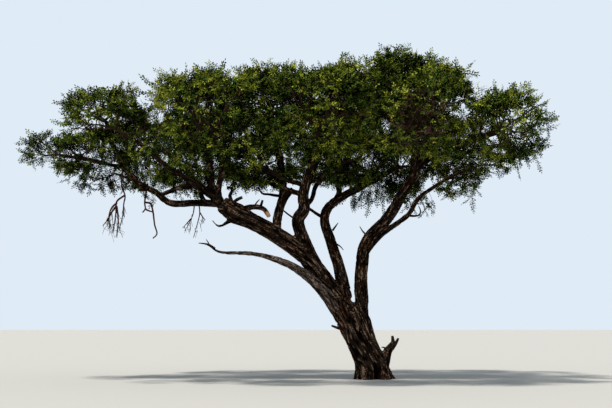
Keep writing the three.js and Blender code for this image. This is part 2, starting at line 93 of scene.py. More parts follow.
# Limbs: evenly spaced radii from foot to tip, and the bends of the middle line
LIMBS = {
    "left_limb": (
        [0.40, 0.345, 0.30, 0.275, 0.263, 0.26, 0.26, 0.26, 0.258, 0.325, 0.235],
        [(-0.76, 0, 1.88), (-1.33, -0.05, 2.72), (-2.02, -0.15, 3.66), (-2.9, -0.3, 4.27),
         (-3.64, -0.4, 4.67), (-4.11, -0.45, 4.9), (-4.49, -0.5, 5.17)],
    ),
    "right_limb": (
        [0.225, 0.195, 0.175, 0.13, 0.095],
        [(-0.29, -0.05, 1.5), (-0.325, -0.08, 2.3), (-0.33, -0.15, 3.16), (-0.16, -0.25, 4.08),
         (0.46, -0.4, 4.76), (0.84, -0.55, 5.39), (1.31, -0.6, 6.22), (1.09, -0.16, 7.95)],
    ),
    "middle_limb": (
        [0.215, 0.175, 0.16, 0.13, 0.11],
        [(-0.78, 0.06, 2.35), (-0.98, 0.2, 3.3), (-1.22, 0.4, 4.1), (-1.41, 0.62, 4.9),
         (-1.17, 0.8, 5.33), (-0.29, 1.0, 5.88), (0.28, 1.0, 6.17)],
    ),
    "left_arm": (
        [0.12, 0.08],
        [(-4.3, -0.49, 5.16), (-5.23, -0.45, 5.2), (-6.04, -0.4, 5.2), (-6.43, -0.35, 5.5),
         (-7.06, -0.27, 5.86), (-7.56, -0.2, 6.44), (-7.88, -0.08, 7.08)],
    ),
    "short_limb": (
        [0.15, 0.105],
        [(-2.88, -0.22, 4.35), (-2.83, 0, 4.85), (-2.69, 0.45, 5.59), (-2.76, 0.45, 6.5),
         (-2.98, 0.35, 7.45)],
    ),
    "centre_limb": (
        [0.20, 0.195, 0.15, 0.10],
        [(-1.62, -0.16, 3.25), (-1.95, -0.18, 3.88), (-2.22, -0.3, 4.7), (-2.04, -0.36, 5.02),
         (-2.06, -0.4, 5.45), (-1.85, -0.28, 6.15), (-1.17, 0, 7.7)],
    ),
    "low_right_limb": (
        [0.11, 0.058],
        [(-0.23, -0.22, 3.7), (0.24, -0.45, 4.24), (1.03, -0.82, 4.81), (1.3, -1.0, 5.25),
         (2.08, -1.08, 5.8)],
    ),
    "dead_limb": (
        [0.205, 0.168, 0.128, 0.078, 0.06, 0.025],
        [(-1.05, -0.19, 2.0), (-1.6, -0.3, 2.72), (-2.18, -0.35, 3.2), (-2.66, -0.37, 3.44),
         (-3.49, -0.45, 3.67), (-4.64, -0.5, 3.77), (-4.96, -0.5, 4.13)],
    ),
    "base_stump": ([0.20, 0.105], [(0.28, -0.11, 0.38), (0.42, -0.15, 0.8), (0.62, -0.15, 1.05)]),
    "broken_branch": (
        [0.105, 0.075],
        [(-4.0, -0.42, 4.96), (-3.55, -0.66, 5.05), (-3.22, -0.69, 4.985), (-3.07, -0.7, 4.74)],
    ),
    "knuckle_stub": ([0.075, 0.022], [(-4.18, -0.46, 4.7), (-4.56, -0.64, 4.48), (-4.76, -0.7, 4.665)]),
}
DEAD = "dead_limb"

# Spurs, snags and side shoots of bare wood that are too thin for the limbs' own mesh
SPURS = {
    "trunk_spur": ([0.07, 0.028], [(-0.75, -0.25, 1.5), (-1.0, -0.3, 1.49), (-1.23, -0.3, 1.57)]),
    "left_prong": ([0.085, 0.035], [(0.52, -0.17, 0.9), (0.59, -0.15, 1.08), (0.575, -0.15, 1.27)]),
    "right_prong": ([0.08, 0.03], [(0.54, -0.15, 0.9), (0.67, -0.15, 1.05), (0.755, -0.15, 1.2)]),
    "stump_spur": ([0.035, 0.015], [(0.4, -0.24, 0.83), (0.32, -0.3, 0.93), (0.24, -0.32, 0.94)]),
    "dead_fork": ([0.05, 0.012], [(-4.68, -0.5, 3.82), (-4.88, -0.5, 3.95), (-5.15, -0.55, 3.99)]),
    "middle_thorn": ([0.035, 0.012], [(-1.17, 0.35, 4.45), (-1.06, 0.3, 4.6), (-1.0, 0.28, 4.68)]),
    "middle_snag": ([0.03, 0.01], [(-1.07, 0.15, 4.02), (-0.95, 0.1, 3.95), (-0.85, 0.1, 3.83)]),
    "right_snag": ([0.035, 0.012], [(-0.13, -0.35, 4.2), (-0.3, -0.4, 4.36), (-0.38, -0.4, 4.5)]),
    "twist_rise": (
        [0.065, 0.04],
        [(-4.15, -0.45, 5.12), (-4.24, -0.5, 5.42), (-4.18, -0.5, 5.54), (-4.2, -0.5, 5.64),
         (-4.34, -0.5, 5.65)],
    ),
    "twist_fall": ([0.06, 0.045], [(-4.2, -0.45, 5.15), (-4.03, -0.55, 5.28), (-3.87, -0.55, 5.35)]),
    "broken_spur": ([0.045, 0.03], [(-3.34, -0.68, 5.0), (-3.3, -0.69, 5.12), (-3.26, -0.7, 5.25)]),
    "broken_thorn": ([0.03, 0.012], [(-3.5, -0.67, 5.06), (-3.44, -0.68, 5.18), (-3.35, -0.68, 5.27)]),
    "low_right_twig": (
        [0.04, 0.012],
        [(0.98, -0.8, 4.77), (1.34, -0.8, 4.79), (1.39, -0.8, 4.92), (1.33, -0.8, 5.06)],
    ),
    "middle_twig": ([0.055, 0.04], [(-1.4, 0.62, 4.85), (-1.6, 0.5, 4.95), (-1.9, 0.1, 5.1)]),
    "centre_twig": ([0.035, 0.02], [(-2.2, -0.3, 4.66), (-2.5, -0.3, 4.86), (-2.66, -0.3, 4.99)]),
    "centre_fork": (
        [0.075, 0.06],
        [(-2.04, -0.35, 5.09), (-1.83, -0.3, 5.3), (-1.68, 0, 5.77), (-1.4, 0.3, 6.09)],
    ),
    "centre_arch": (
        [0.085, 0.06],
        [(-2.07, -0.4, 5.44), (-2.55, -0.2, 5.63), (-2.95, 0.1, 5.81), (-3.33, 0.3, 5.97)],
    ),
    "arm_upper": (
        [0.105, 0.06],
        [(-4.5, -0.5, 5.25), (-4.8, -0.46, 5.5), (-5.26, -0.42, 5.72), (-5.77, -0.4, 5.66),
         (-6.3, -0.37, 5.45)],
    ),
    "arm_stub": ([0.055, 0.035], [(-6.66, -0.36, 5.62), (-6.8, -0.38, 5.6), (-6.98, -0.4, 5.59)]),
    "short_fork": ([0.10, 0.08], [(-2.72, 0.35, 5.25), (-2.58, 0.35, 5.5), (-2.38, 0.3, 5.72)]),
    "short_stub": (
        [0.05, 0.025],
        [(-2.72, 0.35, 5.5), (-3.12, 0.1, 5.53), (-3.3, 0, 5.54), (-3.44, 0, 5.74)],
    ),
}

# Masses of foliage: the middle and the half sizes of each space, and the limb that it stands on. Where a
# bough of its own carries the mass, there follow the share of the limb's length where the bough leaves
# it, and the bough's radii at its foot and tip.
MASSES = {
    "far_left": ((-8.95, -0.3, 6.68), (2, 2, 0.65), "left_arm", 0.78, (0.062, 0.048)),
    "left_top": ((-8.05, 0.1, 7.95), (1.75, 2.1, 0.95), "left_arm"),
    "left_low": ((-7.8, 0.8, 6.3), (1.7, 2, 0.75), "left_arm", 0.6, (0.058, 0.045)),
    "midleft_top": ((-5.25, 0, 8.2), (1.6, 2.3, 1.2), "left_limb", 0.97, (0.125, 0.085)),
    "midleft_low": ((-5.8, 0.3, 6.6), (1.7, 2.1, 1.05), "left_arm", 0.12, (0.085, 0.06)),
    "centre_left_top": ((-3.15, 0.1, 8.3), (1.75, 2.3, 1.25), "short_limb"),
    "centre_left_low": ((-3.6, 0.35, 6.63), (1.7, 2.1, 1.03), "centre_limb", 0.52, (0.085, 0.06)),
    "centre_top": ((-0.9, 0, 8.4), (1.65, 2.3, 1.3), "centre_limb"),
    "centre_low": ((-0.65, 0.35, 6.72), (1.85, 2.1, 1.04), "centre_limb", 0.54, (0.08, 0.058)),
    "right_top": ((1, 0, 8.75), (1.55, 2.3, 1.32), "right_limb"),
    "right_mid": ((1.05, 0.9, 6.65), (1.6, 2, 1.2), "middle_limb"),
    "upper_right": ((2.35, 0.2, 8.2), (1.1, 2.1, 1.25), "right_limb", 0.8, (0.085, 0.062)),
    "far_right": ((4.1, -0.1, 7.6), (1.45, 2, 1.3), "right_limb", 0.77, (0.095, 0.06)),
    "right_low": ((2.85, -0.5, 6.2), (1.6, 2, 0.9), "low_right_limb"),
    "front_far_left": ((-7.1, -2.5, 6.85), (1.9, 2, 1), "left_limb", 0.98, (0.105, 0.068)),
    "front_left": ((-4.45, -3.2, 7.1), (1.95, 2.2, 1.4), "left_limb", 0.95, (0.105, 0.068)),
    "front_centre": ((-1.6, -3.3, 7.2), (1.95, 2.12, 1.4), "centre_limb", 0.57, (0.098, 0.068)),
    "front_right": ((1.2, -3.1, 7.38), (1.9, 2.2, 1.45), "right_limb", 0.66, (0.092, 0.065)),
    "front_far_right": ((3.3, -2.3, 7.05), (1.6, 1.9, 1.15), "right_limb", 0.74, (0.082, 0.058)),
    "back_far_left": ((-6.8, 2.9, 7.4), (1.9, 2, 1.35), "left_limb", 0.93, (0.105, 0.068)),
    "back_left": ((-4.3, 3.3, 7.75), (1.95, 2.15, 1.5), "short_limb", 0.38, (0.098, 0.068)),
    "back_centre": ((-1.3, 3.3, 7.85), (2, 2.17, 1.6), "middle_limb", 0.66, (0.098, 0.068)),
    "back_right": ((1.5, 3.2, 7.9), (1.9, 2.15, 1.55), "middle_limb", 0.8, (0.092, 0.065)),
    "back_far_right": ((3.5, 2.4, 7.45), (1.7, 1.9, 1.35), "right_limb", 0.7, (0.082, 0.058)),
}
BOUGH_ENTRY = 0.78  # how far out in its mass a bough ends, as a share of the way to the skin
BOUGH_BEND = 0.38  # how long a bough's bends are, as a share of its span
SPACE_POWER = 3  # how boxy the spaces are, 2 for an ellipsoid
MASS_OVERLAP = 0.36  # of neighbouring spaces, so that the crown closes between them
LIMB_CLEARANCE = 0.04  # between sprays and wood that is thicker than twigs
CROWN_CENTRE = np.array([-2.6, 0, 6.6])
CROWN_REACH = np.array([8.2, 6.2, 3.6])

# Growth: each mass forks to tufts, and each tuft to leafy shoots
TUFT_AREA = 0.4  # square metres of three faces of a space's box for each tuft
RIM_PLACES = [-10.5, -9.6, -8.6, -6.6, -5.0, 2.0, 3.4, 5.5]  # across the crown, which thins to its rims
RIM_SHARES = [1.0, 0.9, 0.44, 0.44, 0.85, 0.85, 0.52, 0.46]  # of the tufts kept there
UPPER_HEIGHT = 7.3  # of a mass's middle, above which the mass has more tufts
UPPER_FULLNESS = 1.22
TOWARDS_NEIGHBOUR = 0.5  # share of the tufts kept on the sides where a space meets another
UNCUT = 0.97  # share of its own reach above which a space's skin doesn't meet another
INNER_TUFTS = 0.18  # share of the tufts that stand deeper in the mass
INNER_DEPTH = 0.5  # how far out those stand, as a share of the way to the skin
TUFT_REACH = 0.52  # from a tuft's middle to the ends of its shoots
TUFT_DEPTHS = (0.8, 1.7)  # how deep tufts' middles stand below the skin, in TUFT_REACH
TUFT_LEAST = 0.35  # the least share of the way to the skin where a tuft's middle stands
SHOOTS = 20  # of one tuft
SHOOT_LEAST = 0.55  # of the tuft's reach that a shoot may end at
LEADERS = 4  # shoots of a tuft that stand out beyond the others
LEADER_REACH = 1.55  # of the tuft's reach
TIP_RADIUS = 0.0036
FINE_RADIUS = 0.014  # twigs thinner than this have three sides, the others five
STEM_POWER = 0.5  # a twig's radius goes with this power of the count of its shoots
FORK_SHARE = 0.46  # of the way to the middle of its goals, where a twig forks
FOOT_RADIUS = 0.7  # of a new twig, as a share of what the count of its shoots gives
TIP_TAPER = 0.5
SPLIT_LEAST = 0.4  # the least share of the goals that goes to one half, and how much more it may be
SPLIT_RANGE = 0.2
STEM_RUN = 2  # how far a mass's stem runs straight on from its bough, in radii
SHOOT_SAG = 0.07  # how far a shoot's middle hangs below a straight line, as a share of its length
SHOOT_WAVER = 0.04  # how far its middle strays by chance
SHOOT_BEND = 0.55  # where its middle is, as a share of its length
SHOOT_RISE = 0.35  # how strongly shoots turn up, and down on the underside
SHOOT_DROOP = 0.5
UNDERSIDE = -0.35  # the upward part of a tuft's outward direction, below which its shoots droop
SHOOT_ONWARD = 0.6  # how strongly shoots keep to the way that the tuft's twig runs
SHOOT_LEAN = 0.3  # how strongly shoots lean outwards
ALL_ROUND = 1.3  # shoots that would stand all round a tuft, for each that it has
NOTCH_DEPTH = 0.24  # how far notches cut into the crown's skin, as a share of the way to it
NOTCH_SIZE = 0.75
NOTCH_STEEPNESS = 2.2
BOX_MARGIN = 0.018  # how far beyond the solids' box sprays may stand, as a share of its sides

# Sprays: each stands for a few feathered leaves, larger than life
SPRAY_SPACING = 0.031
LEAFY_LENGTH = 0.56  # of the end of a shoot, times a chance number within LEAFY_RANGE
LEAFY_RANGE = (0.75, 1.1)
SPRAY_LENGTH = 0.117
SPRAY_TURN = 0.95  # radians between a spray and its shoot
TURN_SCATTER, RISE_SCATTER, SIZE_SCATTER = 0.2, 0.12, 0.15  # how much sprays vary by chance
SPRAY_TILT = 0.55
SIZE_RANGE = (0.65, 1.4)
FLAT_SCATTER = 0.7  # how far sprays are from lying level
INNER_GROWTH = 0.5  # how much longer sprays are inside the upper crown, which they close
INNER_FROM, INNER_TO = 0.9, 0.6  # how far out they stand where the growth starts and where it is full
INNER_HEIGHTS = [6.9, 7.6]  # where the growth starts and where it is full
PINNAE = [(0.05, 0.95, 0.62), (0.05, -0.95, 0.62), (0.4, 0.0, 0.64)]  # foot, turn and length
PINNA_WIDTH = 0.46  # of its length
PINNA_ARCH, PINNA_DROOP = 0.04, 0.06  # how far its middle stands above its foot, and its tip below
# The weights of depth and height paint shade into the inner, lower sprays and light onto the outer,
# upper ones
PAINTED_SHADE_BY_DEPTH = 0.30  # weights in a spray's tint: how far out it stands, how high, its patch and chance
PAINTED_LIGHT_BY_HEIGHT = 0.10
PATCH_TINT = 0.22
CHANCE_TINT = 0.40
PATCH_SIZE = 0.9
# Plain base colours dealt out by tint, darkest first: partly painted shade on inner, lower sprays,
# partly painted light on outer, upper ones
TINTS = {
    "shade": ((0.0015, 0.0025, 0.0008), 0.31),
    "deep": ((0.011, 0.023, 0.004), 0.21),
    "green": ((0.044, 0.077, 0.009), 0.22),
    "olive": ((0.115, 0.148, 0.016), 0.17),
    "yellow": ((0.270, 0.280, 0.030), 0.09),
}
# Dealt out by the same tint, so the dark one is partly painted shade on the inner, lower dry sprays
DRY_TINTS = {
    "dry_dark": ((0.014, 0.008, 0.006), 0.5),
    "dry": ((0.105, 0.058, 0.042), 0.5),
}
DRY_INSIDE = 0.10  # share of the sprays deep in the crown that are dry
DRY_DEPTH = 0.6

# A patch of the crown's front whose twigs are almost bare, with dry leaves on most of the others
BARE_CENTRE = np.array([0.95, -3.4, 7.05])
BARE_REACH = np.array([0.95, 1.9, 0.75])
BARE_SHARE = 0.3  # of the sprays there that are missing
BARE_DRY = 0.72  # of the others that are dry

# Gaps in the crown where the sky shows through, as seen from the front: place across and height, and
# half sizes, on the plane through the trunk
SKY_GAPS = [
    ((-8.95, 7.55), (0.4, 0.14)),
    ((-6.95, 8.35), (0.22, 0.28)),
    ((-6.57, 7.89), (0.3, 0.26)),
    ((0.45, 7.7), (0.16, 0.22)),
    ((1.0, 6.45), (0.2, 0.16)),
    ((2.85, 8.0), (0.28, 0.26)),
    ((3.32, 8.75), (0.25, 0.4)),
    ((3.9, 6.85), (0.3, 0.1)),
]
GAP_SHARE = 0.92  # of the sprays there that are missing

# Columns of a grain sample
MIDDLE, ALONG, ACROSS, OVER = slice(0, 3), slice(3, 6), slice(6, 9), slice(9, 12)
RADIUS, RUN, LIMB = 12, 13, 14

# Columns of a spray's row
ROOT, HEADING, FLAT = slice(0, 3), slice(3, 6), slice(6, 9)
SIDE, TINT = 9, 10
CHANCE = slice(11, 15)
DRY, SIZE = 15, 16

# Fringes of leafy sprigs under limbs: the ends of the line of their feet, their count and their fall
FRINGES = {
    "middle_limb": ((-0.6, 0.95, 5.74), (0.8, 0.9, 6.0), 34, 0.5),
    "right_limb": ((0.86, -0.7, 5.3), (1.1, -0.7, 5.6), 6, 0.3),
    "low_right_limb": ((1.3, -0.8, 5.2), (1.75, -0.8, 5.3), 8, 0.3),
    "arm_upper": ((-5.95, -0.42, 5.66), (-5.05, -0.42, 5.62), 9, 0.3),
    "left_arm": ((-6.95, -0.4, 5.6), (-6.4, -0.4, 5.45), 5, 0.28),
}
FRINGE_SPREAD = 0.12  # of a fringe's feet
TIP_SPREAD = 0.2
FLATTER = [1, 1, 0.5]  # the spread in height is half of that across
FALL_RANGE = (0.6, 1.1)  # of the fringe's fall

# Leafy sprigs that hang below the crown or stand out of it: their feet and tips
SPRIG_DEPTH = 0.7  # as if so far out in a mass, for the painted shade in their tint
SPRIGS = [
    ((2.95, -0.5, 5.65), (3.0, -0.5, 4.95)),
    ((3.0, -0.5, 5.5), (2.72, -0.5, 5.2)),
    ((0.42, 0.5, 5.9), (0.4, 0.4, 5.05)),
    ((5.15, -0.1, 7.5), (5.62, -0.1, 7.6)),
    ((4.8, 0, 8.3), (5.12, 0, 8.52)),
    ((2.8, 0, 8.95), (3.3, 0, 8.98)),
    ((-0.8, 0, 9.4), (-0.6, 0, 9.75)),
    ((-1.0, 0, 9.4), (-0.85, 0, 9.87)),
    ((-2.75, 0, 9.3), (-2.55, 0, 9.62)),
    ((-4.6, 0, 9.25), (-4.5, 0, 9.58)),
    ((-4.9, 0, 9.25), (-4.95, 0, 9.6)),
    ((-6.6, 0, 8.85), (-7.0, 0, 9.15)),
    ((-6.6, 0, 8.6), (-7.15, 0, 8.72)),
    ((-6.55, 0, 8.4), (-7.0, 0, 8.5)),
    ((-8.9, -0.3, 6.1), (-9.35, -0.3, 5.85)),
    ((-8.75, -0.3, 6.0), (-8.95, -0.3, 5.72)),
    ((-8.6, -0.3, 5.95), (-8.75, -0.3, 5.62)),
    ((4.4, -0.2, 6.5), (4.46, -0.2, 6.0)),
    ((4.95, -0.1, 6.9), (5.12, -0.1, 6.25)),
]

# Rows of leafy sprigs that fill the crown where the photo shows it closed: the ends of the line of their
# feet, their count and their run
CLOSING_ROWS = [
    ((-8.6, -0.4, 6.72), (-7.65, -0.4, 6.6), 34, (0.05, -0.1, 0.42)),
    ((-9.0, -0.5, 6.5), (-7.7, -0.5, 6.35), 30, (-0.15, -0.1, -0.4)),
    ((-7.75, -0.4, 6.85), (-7.5, -0.4, 6.85), 4, (0.05, -0.05, 0.3)),
    ((-6.7, -0.4, 6.3), (-6.2, -0.4, 6.6), 6, (0, -0.05, 0.25)),
    ((-6.6, -0.4, 5.95), (-6.0, -0.4, 5.85), 14, (0, -0.05, -0.25)),
    ((-3.6, 0, 8.05), (-3.25, 0, 8.1), 5, (0.1, 0, 0.3)),
    ((-3.75, 0, 7.35), (-3.5, 0, 7.4), 4, (0.05, 0, 0.25)),
    ((-2.5, 0, 6.45), (-2.2, 0, 6.5), 4, (0, 0, 0.25)),
]
CLOSING_SPREAD = 0.1  # of their feet and tips

# Dead twigs that hang under the left arm: the paths of their stems, the stems' radii at the foot and
# the tip, and the side twigs of each stem
HANGING = {
    "hanging_twigs_left": (
        [
            [(-7.5, -0.25, 6.3), (-7.49, -0.4, 5.73), (-7.38, -0.42, 5.4), (-7.41, -0.42, 5.2),
             (-7.44, -0.42, 4.8), (-7.52, -0.42, 4.45)],
            [(-7.4, -0.42, 5.42), (-7.62, -0.42, 5.24), (-7.63, -0.44, 4.95), (-7.7, -0.46, 4.3)],
            [(-7.63, -0.43, 5.1), (-7.78, -0.4, 4.9), (-7.87, -0.38, 4.73), (-8.03, -0.36, 4.52)],
            [(-7.62, -0.42, 5.2), (-7.75, -0.5, 5.05), (-7.83, -0.5, 4.8), (-7.8, -0.5, 4.45)],
            [(-7.62, -0.42, 5.1), (-7.55, -0.5, 4.7), (-7.58, -0.5, 4.15)],
        ],
        (0.034, 0.012),
        11,
    ),
    "hanging_twigs_middle": (
        [
            [(-6.75, -0.34, 5.68), (-6.76, -0.4, 5.49), (-6.79, -0.42, 5.2), (-6.77, -0.42, 5.02),
             (-6.85, -0.42, 4.91)],
            [(-6.79, -0.42, 5.22), (-6.62, -0.42, 5.18), (-6.545, -0.42, 4.97), (-6.48, -0.42, 4.54),
             (-6.41, -0.42, 4.27), (-6.525, -0.42, 4.14)],
            [(-6.78, -0.42, 5.03), (-6.7, -0.42, 4.98), (-6.55, -0.42, 4.93)],
        ],
        (0.032, 0.02),
        0,
    ),
    "hanging_twigs_right": (
        [
            [(-5.3, -0.45, 5.2), (-5.335, -0.45, 4.875), (-5.47, -0.45, 4.545), (-5.58, -0.45, 4.36)],
            [(-5.4, -0.45, 4.72), (-5.52, -0.45, 4.58), (-5.65, -0.45, 4.44)],
            [(-5.17, -0.45, 5.2), (-5.14, -0.45, 4.88), (-5.2, -0.45, 4.6), (-5.32, -0.45, 4.15)],
            [(-5.13, -0.45, 4.9), (-5.06, -0.45, 4.79), (-4.97, -0.45, 4.68)],
        ],
        (0.022, 0.008),
        4,
    ),
}
SIDE_TWIG_RADIUS = 0.009
SIDE_TWIG_FEET = (0.3, 0.95)  # where on their stem they may start, as shares of its length
SIDE_TWIG_LENGTHS = (0.1, 0.42)

# Bark relief
VOXEL = 0.025
SMOOTH_UNION = 7  # rounds of smoothing before the relief, and after it
SMOOTH_RELIEF = 1
GRAIN_TWIST = 0.25  # radians that the grain turns in a metre
GRAIN_STRETCH = 10.0  # how much longer than wide the plates are
PLATE_WIDTH = 0.22  # of the limb's radius, within PLATE_RANGE
PLATE_RANGE = (0.038, 0.062)
PLATE_GRAIN = [0.55, 0.55, 0.9]
GROOVE_WIDTH = 0.24  # how far the noise is from nil at a groove's sides
GROOVE_LEAST, GROOVE_MOST = 0.012, 0.04  # metres, the depths of grooves
GROOVE_GROWTH = 0.055  # how much deeper they are for each metre of the limb's radius
PLATE_HEIGHT, CREST_HEIGHT = 0.4, 0.25  # in depths of a groove
FLAT_SHADE, PLATE_SHADE, CREST_HIGHLIGHT_GROOVE_SHADE = 0.36, 0.4, 0.6  # grooves take off as painted shade what crests add as painted highlights
CREST_WIDTH = 0.12
WANDER = 0.9  # how far the grooves wander, in plates
WANDER_GRAIN = [0.45, 0.45, 0.9]
WANDER_SHIFT, CREST_SHIFT, PLATE_SHIFT = 31.7, 17.3, 5.1  # to other parts of the noise
FLUTE_STRETCH = 5
FLUTE_GRAIN = 1.25
FLUTE_DEPTH = 0.11  # of the limb's radius
LIMB_STEP = 7.3  # in the noise, from one limb to the next
SAMPLE_SPACING = 0.04
BATCH = 4000  # points whose distances are held at once
LIMB_SIDES, LIMB_SPACING = 20, 0.08
THIN_SIDES, THIN_SPACING = 12, 0.07  # of boughs and spurs, which have lumps in place of relief
LUMP_GRAIN = [9, 9, 6]
LUMP_STEP = 3.7
LUMP_HEIGHT = 0.22  # of the radius
BOUGH_PAINTED_SHADE = 0.8  # painted shade: how dark boughs and spurs, inside the crown, are beside the limbs
BROKEN_END, BROKEN_REACH = (-3.06, -0.74, 4.75), 0.2
BROKEN_WOOD = (0.42, 0.25, 0.14)
DEAD_STREAK = [(-2.3, -0.5, 3.3), (-1.75, -0.5, 2.85), (-1.2, -0.52, 2.1), (-0.8, -0.5, 1.45)]
DEAD_STREAK_HALF = 0.15  # half width of the streak that the dead limb's wood leaves down the trunk
STREAK_RAGGED = 0.35
STREAK_GRAIN = [9, 9, 3]
STREAK_EDGE = 1.6  # in half widths, where the streak ends
STREAK_MOST = 0.75  # how like the dead limb its middle is

# Colours of bark from its grooves, dark as painted shade, to its crests, light as painted highlights;
# what patches and streaks do to them, and twigs
LIVE_TONES = [(0, (0.001, 0.0008, 0.0006)), (0.42, (0.030, 0.0185, 0.012)), (1, (0.36, 0.24, 0.165))]
DEAD_TONES = [(0, (0.010, 0.007, 0.006)), (0.45, (0.115, 0.085, 0.068)), (1, (0.42, 0.34, 0.275))]
RUST, DEAD_RUST = (0.95, 0.62, 0.47), (0.9, 0.7, 0.6)
PATCH_STOPS = [(0.52, (0, 0, 0)), (0.68, (0.8, 0.8, 0.8))]
STREAK_STOPS = [(0.3, (0.4, 0.4, 0.4)), (0.72, (1.3, 1.25, 1.2))]
TWIG_TONES = [(0.35, (0.010, 0.006, 0.004)), (0.65, (0.050, 0.027, 0.017))]
DEAD_TWIG_TONES = [(0.35, (0.007, 0.004, 0.003)), (0.65, (0.10, 0.035, 0.022))]

# Stage
FLOOR_HALF = 1500
FLOOR_COLOUR = (0.29, 0.285, 0.27, 1)
SKY_COLOUR = (0.74, 0.83, 0.92, 1)
SUN_COLOUR = (1.0, 0.96, 0.88)
SUN_STRENGTH = 6.0
SUN_WIDTH = 6  # degrees
SUN_FROM = (-0.35, -0.25, 1.2)  # high up, and a little to the left and the front


def unit(v):
    """Vectors of length one, along the last axis."""
    v = np.asarray(v, float)
    return v / np.maximum(np.linalg.norm(v, axis=-1, keepdims=True), 1e-12)


class Line:
    """A middle line through points, measured along its length."""

    def __init__(self, points):
        self.points = np.asarray(points, float)
        steps = np.linalg.norm(np.diff(self.points, axis=0), axis=1)
        self.along = np.concatenate([[0.0], np.cumsum(steps)])
        self.length = self.along[-1]

    def at(self, share):
        """The point at each share of the length."""
        place = np.asarray(share) * self.length
        return np.stack([np.interp(place, self.along, axis) for axis in self.points.T], axis=-1)

    def heading(self, share):
        """The direction at each share of the length."""
        step = 0.004
        share = np.asarray(share)
        return unit(self.at(np.minimum(share + step, 1)) - self.at(np.maximum(share - step, 0)))


def smooth_line(points, steps=24):
    """A centripetal Catmull-Rom curve through the points."""
    given = np.asarray(points, float)
    knots = np.vstack([2 * given[0] - given[1], given, 2 * given[-1] - given[-2]])
    t = np.linspace(0, 1, steps, endpoint=False)[:, None]
    spans = []
    for p in zip(knots, knots[1:], knots[2:], knots[3:]):
        gap = [np.linalg.norm(p[i + 1] - p[i]) ** 0.5 for i in range(3)]
        step = p[2] - p[1]
        leave = (p[1] - p[0]) / gap[0] - (p[2] - p[0]) / (gap[0] + gap[1]) + step / gap[1]
        arrive = step / gap[1] - (p[3] - p[1]) / (gap[1] + gap[2]) + (p[3] - p[2]) / gap[2]
        leave, arrive = leave * gap[1], arrive * gap[1]
        bend = 3 * step - 2 * leave - arrive
        spans.append(p[1] + leave * t + bend * t**2 + (leave + arrive - 2 * step) * t**3)
    return Line(np.vstack([*spans, given[-1:]]))


def bezier_line(a, b, c, d, steps=24):
    t = np.linspace(0, 1, steps)[:, None]
    return Line(a * (1 - t) ** 3 + 3 * b * t * (1 - t) ** 2 + 3 * c * t**2 * (1 - t) + d * t**3)


def points_between(first, last, count):
    """Evenly spaced points from the first to the last."""
    first, last = np.array(first), np.array(last)
    return [first * (1 - share) + last * share for share in np.linspace(0, 1, count)]


def even_shares(line, spacing, least):
    """Shares of a line's length at about the given spacing."""
    return np.linspace(0, 1, max(least, round(line.length / spacing)))


def radii_at(radii, share):
    """Radii at shares of a limb's length, from evenly spaced ones."""
    return np.interp(share, np.linspace(0, 1, len(radii)), radii)


def side_frames(points):
    """Headings and two side directions along points, carried on without twist."""
    headings = unit(np.gradient(points, axis=0))
    across = np.empty_like(headings)
    start = np.cross(UP, headings[0])
    side = start if np.linalg.norm(start) > 0.2 else np.cross([0, 1.0, 0], headings[0])
    for i, heading in enumerate(headings):
        side = unit(side - heading * (side @ heading))
        across[i] = side
    return headings, across, np.cross(headings, across)


def tube(points, radii, sides, capped=False):
    """Points and faces of a round tube. Faces have four corners, and a cap repeats its last one."""
    points = np.asarray(points, float)
    _, across, over = side_frames(points)
    angles = np.linspace(0, 2 * np.pi, sides, endpoint=False)
    cosines, sines = np.cos(angles)[:, None], np.sin(angles)[:, None]
    rims = cosines * across[:, None] + sines * over[:, None]
    verts = (points[:, None] + rims * np.asarray(radii)[:, None, None]).reshape(-1, 3)
    ring = np.arange(sides)
    after = (ring + 1) % sides
    starts = np.arange(len(points) - 1)[:, None] * sides
    near, far = starts + ring, starts + after
    faces = np.stack([near, far, far + sides, near + sides], axis=-1).reshape(-1, 4)
    if capped:
        foot, tip = len(verts), len(verts) + 1
        last = (len(points) - 1) * sides
        verts = np.vstack([verts, points[0], points[-1]])
        caps = [[foot, b, a, a] for a, b in zip(ring, after)]
        caps += [[tip, last + a, last + b, last + b] for a, b in zip(ring, after)]
        faces = np.vstack([faces, caps])
    return verts, faces


def join(parts):
    """One (points, faces) from many."""
    starts = np.cumsum([0] + [len(verts) for verts, _ in parts[:-1]])
    verts = np.concatenate([verts for verts, _ in parts])
    faces = np.concatenate([faces + start for (_, faces), start in zip(parts, starts)])
    return verts, faces


def linked(name, data):
    """A new object in the scene."""
    made = bpy.data.objects.new(name, data)
    bpy.context.scene.collection.objects.link(made)
    return made


def mesh_object(name, verts, faces, smooth):
    """An object from arrays. A face whose last two corners are the same is a triangle."""
    corners = [face[:3] if face[2] == face[3] else face for face in faces.tolist()]
    mesh = bpy.data.meshes.new(name)
    mesh.from_pydata(verts.tolist(), [], corners, shade_flat=not smooth)
    return linked(name, mesh)


def add_piece(piece, material, nodes):
    """Gives a piece its material, and ties it to the frame."""
    piece.data.materials.clear()
    piece.data.materials.append(material)
    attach(piece, "root")
    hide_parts(*nodes)


# Materials


def new_material(name, roughness, specular):
    material = bpy.data.materials.new(name)
    material.use_nodes = True
    shader = material.node_tree.nodes["Principled BSDF"]
    shader.inputs["Roughness"].default_value = roughness
    shader.inputs["Specular IOR Level"].default_value = specular
    return material, material.node_tree, shader


